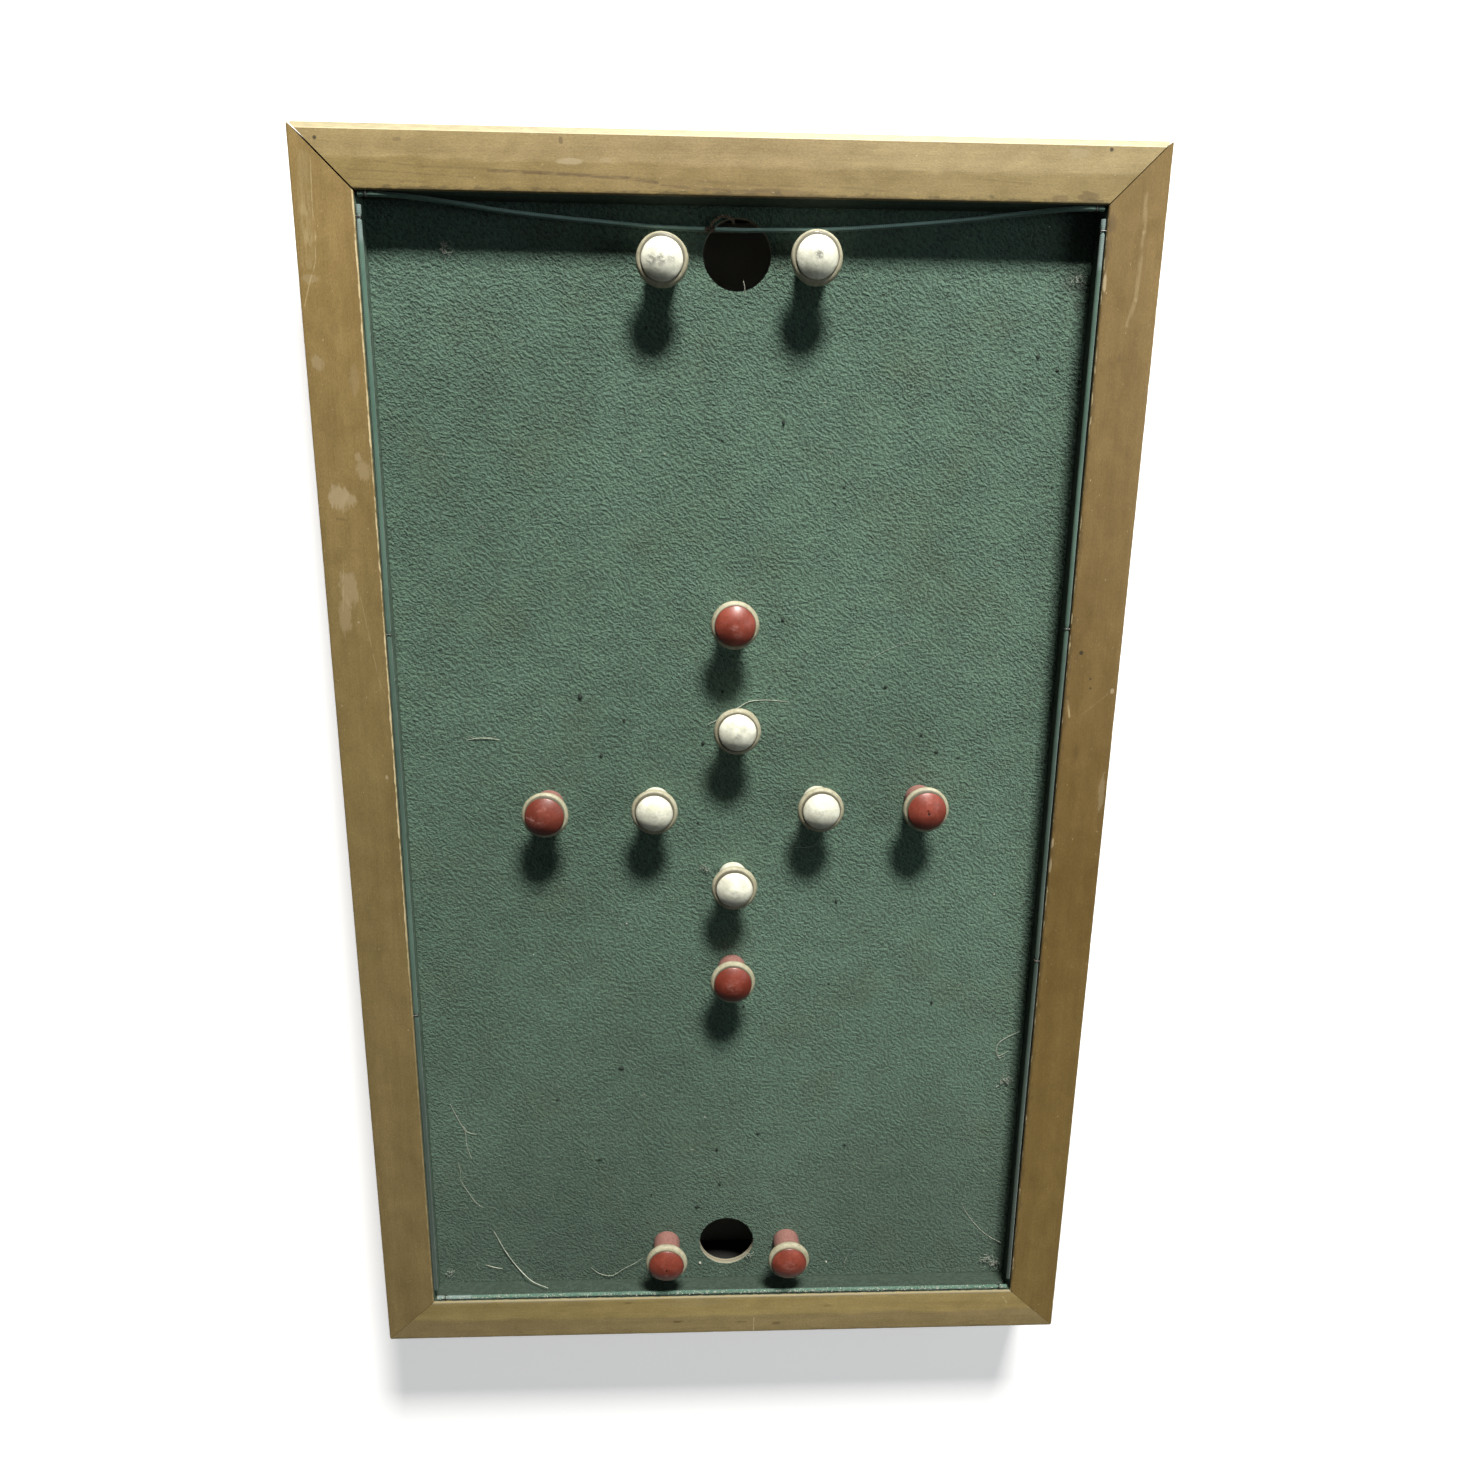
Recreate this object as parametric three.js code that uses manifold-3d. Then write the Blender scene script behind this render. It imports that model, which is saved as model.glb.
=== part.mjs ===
// A tabletop bumper billiards board: four mitred wooden rails around a cloth-covered plywood bed
// with two pockets, twelve turned bumper pegs in rubber rings, and elastic cushion cords.
// Millimetres, +Z up, X across the board, Y along it. Z = 0 is the underside that it lies on.

import * as THREE from 'three';
import { mergeVertices } from 'three/addons/utils/BufferGeometryUtils.js';
import Module from 'manifold-3d';

// ---------- Driving dimensions ----------

const BOARD_WIDTH = 552;
const BOARD_LENGTH = 900;
const RAIL_WIDTH = 38;
const BOTTOM_RAIL_WIDTH = 35.6;
const RAIL_HEIGHT = 64;
const RAIL_ABOVE_CLOTH = 21;
const ARRIS_RADIUS = 1;
const TOP_RAIL_BEVEL = { across: 4.4, down: 2.9 };
const CORNER_RADIUS = 3;
const GROOVE_DEPTH = 6;

const FIT_GAP = 0.3;
const MITRE_GAPS = { top_left: 1.0, top_right: 0.6, bottom_right: 0.3, bottom_left: 0.3 };

const PLY_THICKNESS = 4;
const CLOTH_THICKNESS = 1;
const POCKET_DIAMETER = 45;
const POCKETS = [{ x: 1.7, y: 382.9 }, { x: 1.5, y: -378.5 }];

// The pegs were set out by eye, so each stands a few millimetres off the true cross.
const PEGS = [
  { name: 'white_top_left', x: -46.6, y: 375.3 },
  { name: 'white_top_right', x: 51.5, y: 378 },
  { name: 'red_cross_top', x: 2, y: 142.1 },
  { name: 'white_cross_top', x: 4.4, y: 66.6 },
  { name: 'red_cross_left', x: -132.9, y: 5.8 },
  { name: 'white_cross_left', x: -54.6, y: 7.9 },
  { name: 'white_cross_right', x: 65.6, y: 8.7 },
  { name: 'red_cross_right', x: 142, y: 9.4 },
  { name: 'white_cross_bottom', x: 3.3, y: -51.3 },
  { name: 'red_cross_bottom', x: 3.3, y: -127.7 },
  { name: 'red_bottom_left', x: -48.3, y: -378.1 },
  { name: 'red_bottom_right', x: 51.3, y: -378 },
];

// Heights on a peg are above the cloth.
const STEM_RADIUS = 10.75;
const NECK_RADIUS = 9.5;
const NECK_BOTTOM = 19.9;
const HEAD_BOTTOM = 26.8;
const HEAD_EDGE = 27.4;
const HEAD_LIP = 0.4;
const HEAD_RADIUS = { white_paint: 13.3, red_paint: 14 };
const HEAD_TOP = 32.6;
const RING_INNER_RADIUS = 9.8;
const RING_OUTER_RADIUS = 16.8;
const RING_HEIGHT = 6.2;

const SCREW_SHANK_RADIUS = 2;
const SCREW_HOLE_RADIUS = 2.3;
const SCREW_HEAD_RADIUS = 4;
const SCREW_HEAD_HEIGHT = 2.4;
const SCREW_HEAD_CROWN = 1.6;
const SCREW_HEAD_FLAT_RADIUS = 2.4;
const SCREW_IN_PEG = 17;
const SCREW_POINT = 4;
const BORE_IN_PEG = 18;

const CORD_RADIUS = 1.5;
const CORD_ABOVE_CLOTH = 17.9;
const MAX_BULGE = 0.4;
const BULGE_PER_SPAN = 0.01;
const SIDE_CORD_END = 46;
const BOTTOM_CORD_END = 40.5;

const STAPLE_WIRE = 0.8;
const STAPLE_PINCH = 0.4;
const STAPLE_DEPTH = 5;
const STAPLE_CLEARANCE = 0.25;

const BLOCK_LEG = 46;
const BLOCK_HEIGHT = 26;

// Each side runs anticlockwise from its start corner, and its staples are placed from there.
// The top side has no held cord, because its cord hangs loose, and only its rail is bevelled.
// The bottom rail is narrower, so its mitres are a little off 45 degrees.
const SIDES = [
  {
    name: 'bottom', start: 'bottom_left', end: 'bottom_right', width: BOTTOM_RAIL_WIDTH,
    length: BOARD_WIDTH, x: -BOARD_WIDTH / 2, y: -BOARD_LENGTH / 2, turns: 0,
    cord_end: BOTTOM_CORD_END, staples: [47, 505],
  },
  {
    name: 'right', start: 'bottom_right', end: 'top_right', width: RAIL_WIDTH,
    length: BOARD_LENGTH, x: BOARD_WIDTH / 2, y: -BOARD_LENGTH / 2, turns: 1,
    cord_end: SIDE_CORD_END, staples: [335, 590, 847],
  },
  {
    name: 'top', start: 'top_right', end: 'top_left', width: RAIL_WIDTH,
    length: BOARD_WIDTH, x: BOARD_WIDTH / 2, y: BOARD_LENGTH / 2, turns: 2,
    bevel: TOP_RAIL_BEVEL, staples: [45, 507],
  },
  {
    name: 'left', start: 'top_left', end: 'bottom_left', width: RAIL_WIDTH,
    length: BOARD_LENGTH, x: -BOARD_WIDTH / 2, y: BOARD_LENGTH / 2, turns: 3,
    cord_end: SIDE_CORD_END, staples: [53, 316, 606],
  },
];

// The top cord has come loose between its corner staples. It drops onto the cloth, bows towards
// the middle of the board and bridges the pocket. Each point is x, y and the height above the cloth.
const LOOSE_CORD_ROUTE = [
  [-236, 410.2, 17.9], [-226, 410.2, 17.9], [-216, 410.1, 17.1], [-204, 409.8, 14.6],
  [-190, 409.1, 11.2], [-172, 407.6, 7.8], [-155, 405.8, 5.2], [-139, 404.4, 3.6],
  [-123, 403.1, 2.6], [-106, 401.9, 2.0], [-90, 400.8, 1.8], [-73, 399.6, 1.7],
  [-57, 398.5, 1.7], [-40, 397.9, 1.7], [-25, 397.5, 1.7], [-10, 397.5, 1.6],
  [5, 397.4, 1.4], [20, 397.5, 1.7], [41, 398.0, 1.7], [55, 398.4, 1.7],
  [69, 399.0, 1.7], [88, 400.2, 1.8], [109, 401.8, 2.3], [128, 403.2, 3.4],
  [146, 404.7, 4.8], [162, 406.2, 6.4], [177, 407.6, 8.6], [192, 408.9, 11.3],
  [206, 409.8, 14.4], [217, 410.1, 16.9], [226, 410.2, 17.9], [236, 410.2, 17.9],
];

// ---------- Facets ----------

const MERGE_DISTANCE = 1e-4;
const LATHE_SEGMENTS = 16;
const SCREW_SEGMENTS = 8;
const POCKET_SEGMENTS = 40;
const HOLE_SEGMENTS = 8;
const CORD_SIDES = 8;
const ARC_SEGMENTS = 3;
const DOME_STEPS = 5;
const RING_STEPS = 8;
const HELD_CORD_STEPS = 32;
const LOOSE_CORD_STEPS = 56;

// ---------- Heights worked out from the driving dimensions ----------

const CLOTH_TOP = RAIL_HEIGHT - RAIL_ABOVE_CLOTH;
const CLOTH_BOTTOM = CLOTH_TOP - CLOTH_THICKNESS;
const PLY_TOP = CLOTH_BOTTOM - FIT_GAP;
const PLY_BOTTOM = PLY_TOP - PLY_THICKNESS;
const INNER_WIDTH = BOARD_WIDTH - 2 * RAIL_WIDTH;
const INNER_LENGTH = BOARD_LENGTH - RAIL_WIDTH - BOTTOM_RAIL_WIDTH;
const INNER_CENTRE_Y = (BOTTOM_RAIL_WIDTH - RAIL_WIDTH) / 2;
const CORD_FROM_RAIL = FIT_GAP + CORD_RADIUS;

// ---------- Materials ----------

function finish(color, roughness, metalness = 0) {
  return new THREE.MeshStandardMaterial({ color, roughness, metalness });
}

const MATERIALS = {
  rail_wood: finish(0xb38d57, 0.45),
  plywood: finish(0xcdb88a, 0.7),
  cloth: finish(0x4d6455, 0.95),
  white_paint: finish(0xd8d5c6, 0.5),
  red_paint: finish(0x98352f, 0.4),
  ring_rubber: finish(0xc4b898, 0.75),
  cord_sleeve: finish(0x5f8474, 0.9),
  staple_steel: finish(0x5c5a55, 0.5, 0.8),
  screw_steel: finish(0xa39f94, 0.4, 0.9),
};

// ---------- Solid modelling helpers ----------

const wasm = await Module();
wasm.setup();

function toSolid(geometry) {
  const bare = geometry.index ? geometry.toNonIndexed() : geometry.clone();
  bare.deleteAttribute('normal');
  bare.deleteAttribute('uv');
  const merged = mergeVertices(bare, MERGE_DISTANCE);
  return new wasm.Manifold(new wasm.Mesh({
    numProp: 3,
    vertProperties: new Float32Array(merged.attributes.position.array),
    triVerts: new Uint32Array(merged.index.array),
  }));
}

function toGeometry(solid) {
  const { vertProperties, triVerts } = solid.getMesh();
  const geometry = new THREE.BufferGeometry();
  geometry.setAttribute('position', new THREE.BufferAttribute(new Float32Array(vertProperties), 3));
  geometry.setIndex(new THREE.BufferAttribute(new Uint32Array(triVerts), 1));
  geometry.computeVertexNormals();
  return geometry;
}

function namedMesh(name, geometry, material) {
  const mesh = new THREE.Mesh(geometry, MATERIALS[material].clone());
  mesh.name = name;
  return mesh;
}

function boxAt(sizeX, sizeY, sizeZ, x, y, z) {
  return new THREE.BoxGeometry(sizeX, sizeY, sizeZ).translate(x, y, z);
}

function circle(x, y, radius, segments) {
  const points = [];
  for (let i = 0; i < segments; i += 1) {
    const angle = (2 * Math.PI * i) / segments;
    points.push(new THREE.Vector2(x + radius * Math.cos(angle), y + radius * Math.sin(angle)));
  }
  return points;
}

function rectangle(width, length, centreY) {
  const low = centreY - length / 2;
  const high = centreY + length / 2;
  const shape = new THREE.Shape();
  shape.moveTo(-width / 2, low);
  shape.lineTo(width / 2, low);
  shape.lineTo(width / 2, high);
  shape.lineTo(-width / 2, high);
  shape.closePath();
  return shape;
}

function roundedRectangle(width, length, radius) {
  const x = width / 2 - radius;
  const y = length / 2 - radius;
  const shape = new THREE.Shape();
  shape.absarc(x, y, radius, 0, Math.PI / 2);
  shape.absarc(-x, y, radius, Math.PI / 2, Math.PI);
  shape.absarc(-x, -y, radius, Math.PI, 1.5 * Math.PI);
  shape.absarc(x, -y, radius, 1.5 * Math.PI, 2 * Math.PI);
  shape.closePath();
  return shape;
}

function cordTube(points, steps) {
  const section = new THREE.Shape(circle(0, 0, CORD_RADIUS, CORD_SIDES));
  const extrudePath = new THREE.CatmullRomCurve3(points, false, 'centripetal');
  return new THREE.ExtrudeGeometry(section, { steps, extrudePath, bevelEnabled: false });
}

// ---------- Rails, each with its cord and staples ----------

// The section of a rail: x from the outer face inwards, y up, with a groove for the bed. Its outer
// arris is rounded like the inner one, or planed to a bevel.
function railSection({ width, bevel }) {
  const shape = new THREE.Shape();
  const top = RAIL_HEIGHT - ARRIS_RADIUS;
  shape.moveTo(0, 0);
  shape.lineTo(width, 0);
  shape.lineTo(width, PLY_BOTTOM - FIT_GAP);
  shape.lineTo(width - GROOVE_DEPTH, PLY_BOTTOM - FIT_GAP);
  shape.lineTo(width - GROOVE_DEPTH, PLY_TOP + FIT_GAP);
  shape.lineTo(width, PLY_TOP + FIT_GAP);
  shape.absarc(width - ARRIS_RADIUS, top, ARRIS_RADIUS, 0, Math.PI / 2);
  if (bevel) {
    shape.lineTo(bevel.across, RAIL_HEIGHT);
    shape.lineTo(0, RAIL_HEIGHT - bevel.down);
  } else {
    shape.absarc(ARRIS_RADIUS, top, ARRIS_RADIUS, Math.PI / 2, Math.PI);
  }
  shape.closePath();
  return shape;
}

// How far a rail's mitre runs along it for each millimetre across it, next to a neighbour.
function mitreRun(side, corner) {
  const neighbour = SIDES.find((other) => other !== side && [other.start, other.end].includes(corner));
  return neighbour.width / side.width;
}

// A rail in its own frame: x along it, y from its outer face inwards, z up, both ends mitred.
function railBlank(side) {
  const geometry = new THREE.ExtrudeGeometry(railSection(side), {
    depth: side.length,
    curveSegments: ARC_SEGMENTS,
    bevelEnabled: false,
  });
  const position = geometry.attributes.position;
  for (let i = 0; i < position.count; i += 1) {
    const across = position.getX(i);
    const isStart = position.getZ(i) < side.length / 2;
    const corner = isStart ? side.start : side.end;
    const inset = across * mitreRun(side, corner) + MITRE_GAPS[corner] / Math.SQRT2;
    position.setXYZ(i, isStart ? inset : side.length - inset, across, position.getY(i));
  }
  return geometry;
}

// The whole frame's rounded outline, in a rail's own frame: it rounds the outer corners.
function cornerRounder(side) {
  const outline = roundedRectangle(BOARD_WIDTH, BOARD_LENGTH, CORNER_RADIUS);
  const depth = 2 * RAIL_HEIGHT;
  return new THREE.ExtrudeGeometry(outline, { depth, curveSegments: ARC_SEGMENTS, bevelEnabled: false })
    .translate(-side.x, -side.y, -RAIL_HEIGHT / 2)
    .rotateZ((-side.turns * Math.PI) / 2);
}

// A wire staple round the cord: two legs in the rail and a crown on the cord's open side.
function stapleSolid(side, along, extra) {
  const wire = STAPLE_WIRE + 2 * extra;
  const legOffset = CORD_RADIUS - STAPLE_PINCH + STAPLE_WIRE / 2;
  const crownY = side.width + CORD_FROM_RAIL + legOffset;
  const legStart = side.width - STAPLE_DEPTH - extra;
  const legEnd = crownY + wire / 2;
  const height = CLOTH_TOP + CORD_ABOVE_CLOTH;
  const leg = (z) => boxAt(wire, legEnd - legStart, wire, along, (legStart + legEnd) / 2, z);
  const crown = boxAt(wire, wire, 2 * legOffset + wire, along, crownY, height);
  return toSolid(crown)
    .add(toSolid(leg(height - legOffset)))
    .add(toSolid(leg(height + legOffset)));
}

function withStapleRoom(geometry, side) {
  let solid = toSolid(geometry);
  for (const along of side.staples) {
    solid = solid.subtract(stapleSolid(side, along, STAPLE_CLEARANCE));
  }
  return solid;
}

// A cord held along its rail, standing slightly off it midway between the staples.
function heldCord(side) {
  const first = side.cord_end;
  const last = side.length - side.cord_end;
  const stops = [first, ...side.staples, last].sort((a, b) => a - b);
  const points = [];
  const addPoint = (along, bulge) => {
    const y = side.width + CORD_FROM_RAIL + bulge;
    points.push(new THREE.Vector3(along, y, CLOTH_TOP + CORD_ABOVE_CLOTH));
  };
  for (let i = 0; i + 1 < stops.length; i += 1) {
    const span = stops[i + 1] - stops[i];
    const bulge = Math.min(MAX_BULGE, BULGE_PER_SPAN * span);
    for (const part of [0, 0.25, 0.5, 0.75]) {
      addPoint(stops[i] + span * part, bulge * Math.sin(Math.PI * part));
    }
  }
  addPoint(last, 0);
  return cordTube(points, HELD_CORD_STEPS);
}

function looseCord() {
  const points = LOOSE_CORD_ROUTE.map(([x, y, z]) => new THREE.Vector3(x, y, CLOTH_TOP + z));
  return cordTube(points, LOOSE_CORD_STEPS);
}

function frameSide(side) {
  const group = new THREE.Group();
  const rail = withStapleRoom(railBlank(side), side).intersect(toSolid(cornerRounder(side)));
  group.add(namedMesh(`rail_${side.name}`, toGeometry(rail), 'rail_wood'));
  if (side.cord_end) {
    const cord = toGeometry(withStapleRoom(heldCord(side), side));
    group.add(namedMesh(`cushion_cord_${side.name}`, cord, 'cord_sleeve'));
  }
  side.staples.forEach((along, i) => {
    const staple = toGeometry(stapleSolid(side, along, 0));
    group.add(namedMesh(`staple_${side.name}_${i + 1}`, staple, 'staple_steel'));
  });
  group.position.set(side.x, side.y, 0);
  group.rotation.z = (side.turns * Math.PI) / 2;
  return group;
}

// The loose cord is built where it lies, with room cut for the two staples that hold its ends.
function looseCordMesh() {
  const top = SIDES.find((side) => side.name === 'top');
  let cord = toSolid(looseCord());
  for (const along of top.staples) {
    const room = stapleSolid(top, along, STAPLE_CLEARANCE);
    cord = cord.subtract(room.rotate([0, 0, 180]).translate([top.x, top.y, 0]));
  }
  return namedMesh('cushion_cord_top', toGeometry(cord), 'cord_sleeve');
}

// ---------- Bed and cloth ----------

function sheetWithHoles(width, length, thickness, z) {
  const shape = rectangle(width, length, INNER_CENTRE_Y);
  for (const pocket of POCKETS) {
    shape.holes.push(new THREE.Path(circle(pocket.x, pocket.y, POCKET_DIAMETER / 2, POCKET_SEGMENTS)));
  }
  for (const peg of PEGS) {
    shape.holes.push(new THREE.Path(circle(peg.x, peg.y, SCREW_HOLE_RADIUS, HOLE_SEGMENTS)));
  }
  const geometry = new THREE.ExtrudeGeometry(shape, { depth: thickness, bevelEnabled: false });
  return geometry.translate(0, 0, z);
}

function bedPanel() {
  const tongue = 2 * (GROOVE_DEPTH - FIT_GAP);
  const width = INNER_WIDTH + tongue;
  const length = INNER_LENGTH + tongue;
  return namedMesh('bed_panel', sheetWithHoles(width, length, PLY_THICKNESS, PLY_BOTTOM), 'plywood');
}

function playingCloth() {
  const width = INNER_WIDTH - 2 * FIT_GAP;
  const length = INNER_LENGTH - 2 * FIT_GAP;
  return namedMesh('playing_cloth', sheetWithHoles(width, length, CLOTH_THICKNESS, CLOTH_BOTTOM), 'cloth');
}

// ---------- Bumper pegs, rubber rings and screws ----------

function lathe(profile, segments) {
  const points = profile.map(([radius, height]) => new THREE.Vector2(radius, height));
  return new THREE.LatheGeometry(points, segments).rotateX(Math.PI / 2);
}

// A straight stem with a neck for the ring and a domed head, bored from below for the screw.
function pegGeometry(headRadius) {
  const profile = [
    [0, BORE_IN_PEG], [SCREW_HOLE_RADIUS, BORE_IN_PEG], [SCREW_HOLE_RADIUS, FIT_GAP],
    [STEM_RADIUS, FIT_GAP], [STEM_RADIUS, NECK_BOTTOM], [NECK_RADIUS, NECK_BOTTOM],
    [NECK_RADIUS, HEAD_BOTTOM], [headRadius - HEAD_LIP, HEAD_BOTTOM],
  ];
  for (let i = 0; i < DOME_STEPS; i += 1) {
    const share = 1 - i / DOME_STEPS;
    profile.push([headRadius * share, HEAD_EDGE + (HEAD_TOP - HEAD_EDGE) * (1 - share ** 2)]);
  }
  profile.push([0, HEAD_TOP]);
  return lathe(profile, LATHE_SEGMENTS);
}

// A rubber ring with a rounded section, held between the stem's shoulder and the head.
function ringGeometry() {
  const middleRadius = (RING_INNER_RADIUS + RING_OUTER_RADIUS) / 2;
  const halfWidth = (RING_OUTER_RADIUS - RING_INNER_RADIUS) / 2;
  const middleHeight = (NECK_BOTTOM + HEAD_BOTTOM) / 2;
  const profile = [];
  for (let i = 0; i <= RING_STEPS; i += 1) {
    const angle = (2 * Math.PI * (i % RING_STEPS)) / RING_STEPS;
    profile.push([
      middleRadius + halfWidth * Math.cos(angle),
      middleHeight + (RING_HEIGHT / 2) * Math.sin(angle),
    ]);
  }
  return lathe(profile, LATHE_SEGMENTS);
}

// A round-headed wood screw, from under the bed up into the peg.
function screwGeometry() {
  const seat = PLY_BOTTOM - FIT_GAP - CLOTH_TOP;
  const profile = [
    [0, seat - SCREW_HEAD_HEIGHT], [SCREW_HEAD_FLAT_RADIUS, seat - SCREW_HEAD_HEIGHT],
    [SCREW_HEAD_RADIUS, seat - SCREW_HEAD_HEIGHT + SCREW_HEAD_CROWN], [SCREW_HEAD_RADIUS, seat],
    [SCREW_SHANK_RADIUS, seat], [SCREW_SHANK_RADIUS, SCREW_IN_PEG - SCREW_POINT],
    [0, SCREW_IN_PEG],
  ];
  return lathe(profile, SCREW_SEGMENTS);
}

function bumper(peg) {
  const group = new THREE.Group();
  const paint = peg.name.startsWith('red') ? 'red_paint' : 'white_paint';
  group.add(namedMesh(`peg_${peg.name}`, pegGeometry(HEAD_RADIUS[paint]), paint));
  group.add(namedMesh(`ring_${peg.name}`, ringGeometry(), 'ring_rubber'));
  group.add(namedMesh(`screw_${peg.name}`, screwGeometry(), 'screw_steel'));
  group.position.set(peg.x, peg.y, CLOTH_TOP);
  return group;
}

// ---------- Glue blocks in the corners under the bed ----------

function glueBlock(name, signX, signY, turns) {
  const triangle = new THREE.Shape();
  triangle.moveTo(0, 0);
  triangle.lineTo(BLOCK_LEG, 0);
  triangle.lineTo(0, BLOCK_LEG);
  triangle.closePath();
  const geometry = new THREE.ExtrudeGeometry(triangle, { depth: BLOCK_HEIGHT, bevelEnabled: false });
  const mesh = namedMesh(`glue_block_${name}`, geometry, 'rail_wood');
  const x = signX * (INNER_WIDTH / 2 - FIT_GAP);
  const y = INNER_CENTRE_Y + signY * (INNER_LENGTH / 2 - FIT_GAP);
  mesh.position.set(x, y, PLY_BOTTOM - FIT_GAP - BLOCK_HEIGHT);
  mesh.rotation.z = (turns * Math.PI) / 2;
  return mesh;
}

// ---------- Assembly ----------

const board = new THREE.Group();
SIDES.forEach((side) => board.add(frameSide(side)));
board.add(bedPanel());
board.add(playingCloth());
PEGS.forEach((peg) => board.add(bumper(peg)));
board.add(looseCordMesh());
board.add(glueBlock('bottom_left', -1, -1, 0));
board.add(glueBlock('bottom_right', 1, -1, 1));
board.add(glueBlock('top_right', 1, 1, 2));
board.add(glueBlock('top_left', -1, 1, 3));

export default board;
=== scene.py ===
import math
import random

import bmesh
import bpy
import numpy as np
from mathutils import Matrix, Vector, noise
from mathutils.geometry import delaunay_2d_cdt


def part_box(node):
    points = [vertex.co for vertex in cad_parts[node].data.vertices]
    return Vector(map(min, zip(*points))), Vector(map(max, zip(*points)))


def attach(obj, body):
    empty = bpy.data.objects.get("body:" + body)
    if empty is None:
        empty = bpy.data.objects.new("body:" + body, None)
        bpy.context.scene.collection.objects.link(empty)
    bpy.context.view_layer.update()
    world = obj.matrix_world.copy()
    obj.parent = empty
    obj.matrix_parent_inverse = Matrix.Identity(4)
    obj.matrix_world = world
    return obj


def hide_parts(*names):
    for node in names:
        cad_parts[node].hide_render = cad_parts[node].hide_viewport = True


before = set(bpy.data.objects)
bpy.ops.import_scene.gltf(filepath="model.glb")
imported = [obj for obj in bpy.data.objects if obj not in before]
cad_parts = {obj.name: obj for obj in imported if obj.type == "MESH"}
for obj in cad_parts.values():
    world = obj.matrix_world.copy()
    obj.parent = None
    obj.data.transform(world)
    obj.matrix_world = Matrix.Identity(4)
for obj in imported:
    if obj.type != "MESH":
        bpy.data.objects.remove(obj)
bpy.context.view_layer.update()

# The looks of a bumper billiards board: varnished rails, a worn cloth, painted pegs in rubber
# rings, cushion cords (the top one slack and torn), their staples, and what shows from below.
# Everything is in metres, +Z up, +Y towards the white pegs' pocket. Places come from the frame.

MM = 0.001
NODE_NAMES = sorted(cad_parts)
PEG_NAMES = [name[len("peg_"):] for name in NODE_NAMES if name.startswith("peg_")]

# ---------- Sizes, from the frame and from the driving dimensions ----------

RAIL_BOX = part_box("rail_left")
BED_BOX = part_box("bed_panel")
CLOTH_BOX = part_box("playing_cloth")
FIT_GAP = 0.3 * MM
BOARD_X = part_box("rail_right")[1].x
BOARD_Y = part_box("rail_top")[1].y
RAIL_WIDTH = RAIL_BOX[1].x - RAIL_BOX[0].x
RAIL_HEIGHT = RAIL_BOX[1].z
BOTTOM_RAIL_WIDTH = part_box("rail_bottom")[1].y + BOARD_Y
RAIL_WIDTHS = {"bottom": BOTTOM_RAIL_WIDTH, "right": RAIL_WIDTH, "top": RAIL_WIDTH, "left": RAIL_WIDTH}
INNER_X = BOARD_X - RAIL_WIDTH
CLOTH_TOP = CLOTH_BOX[1].z
GROOVE_LOW = BED_BOX[0].z - FIT_GAP
GROOVE_HIGH = BED_BOX[1].z + FIT_GAP
GROOVE_DEPTH = BED_BOX[1].x - INNER_X + FIT_GAP
ARRIS_RADIUS = 1.2 * MM
FOOT_RADIUS = 0.6 * MM
TOP_RAIL_BEVEL = (4.4 * MM, 2.9 * MM)
CORNER_RADIUS = 3 * MM
MITRE_GAPS = {
    "top_left": 1.0 * MM,
    "top_right": 0.6 * MM,
    "bottom_right": 0.3 * MM,
    "bottom_left": 0.3 * MM,
}
POCKET_RADIUS = 22.5 * MM
POCKETS = [(1.7 * MM, 382.9 * MM), (1.5 * MM, -378.5 * MM)]
SCREW_HOLE_RADIUS = 2.3 * MM
CORD_RADIUS = 1.5 * MM

# ---------- Camera ----------

# Its place is in metres, its turn in degrees, and its lens and sensor in millimetres.
CAMERA_PLACE = (-0.0278, 0.2344, 0.7470)
CAMERA_TURN = (-13.682, -2.054, 0.543)
CAMERA_LENS = 24.47
CAMERA_SENSOR = 36


def make_camera():
    data = bpy.data.cameras.new("camera")
    data.lens = CAMERA_LENS
    data.sensor_width = CAMERA_SENSOR
    camera = bpy.data.objects.new("camera", data)
    camera.location = CAMERA_PLACE
    camera.rotation_euler = [math.radians(angle) for angle in CAMERA_TURN]
    bpy.context.scene.collection.objects.link(camera)
    bpy.context.scene.camera = camera


make_camera()

# ---------- Mesh helpers ----------


def make_object(name, points, faces, place=None, sharp=35):
    """A smooth-shaded mesh object. place is a vector for each point, which its material reads."""
    mesh = bpy.data.meshes.new(name)
    mesh.from_pydata([tuple(point) for point in points], [], [tuple(face) for face in faces])
    if place is not None:
        attribute = mesh.attributes.new("place", "FLOAT_VECTOR", "POINT")
        attribute.data.foreach_set("vector", np.asarray(place, np.float32).ravel())
    mesh.update()
    mesh.shade_smooth()
    mesh.set_sharp_from_angle(angle=math.radians(sharp))
    obj = bpy.data.objects.new(name, mesh)
    bpy.context.scene.collection.objects.link(obj)
    return obj


def finish_piece(obj, material, replaced=()):
    """Gives a piece its material, its body and the CAD nodes that it stands for."""
    obj.data.materials.append(material)
    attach(obj, "root")
    if replaced:
        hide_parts(*replaced)
    return obj


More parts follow.
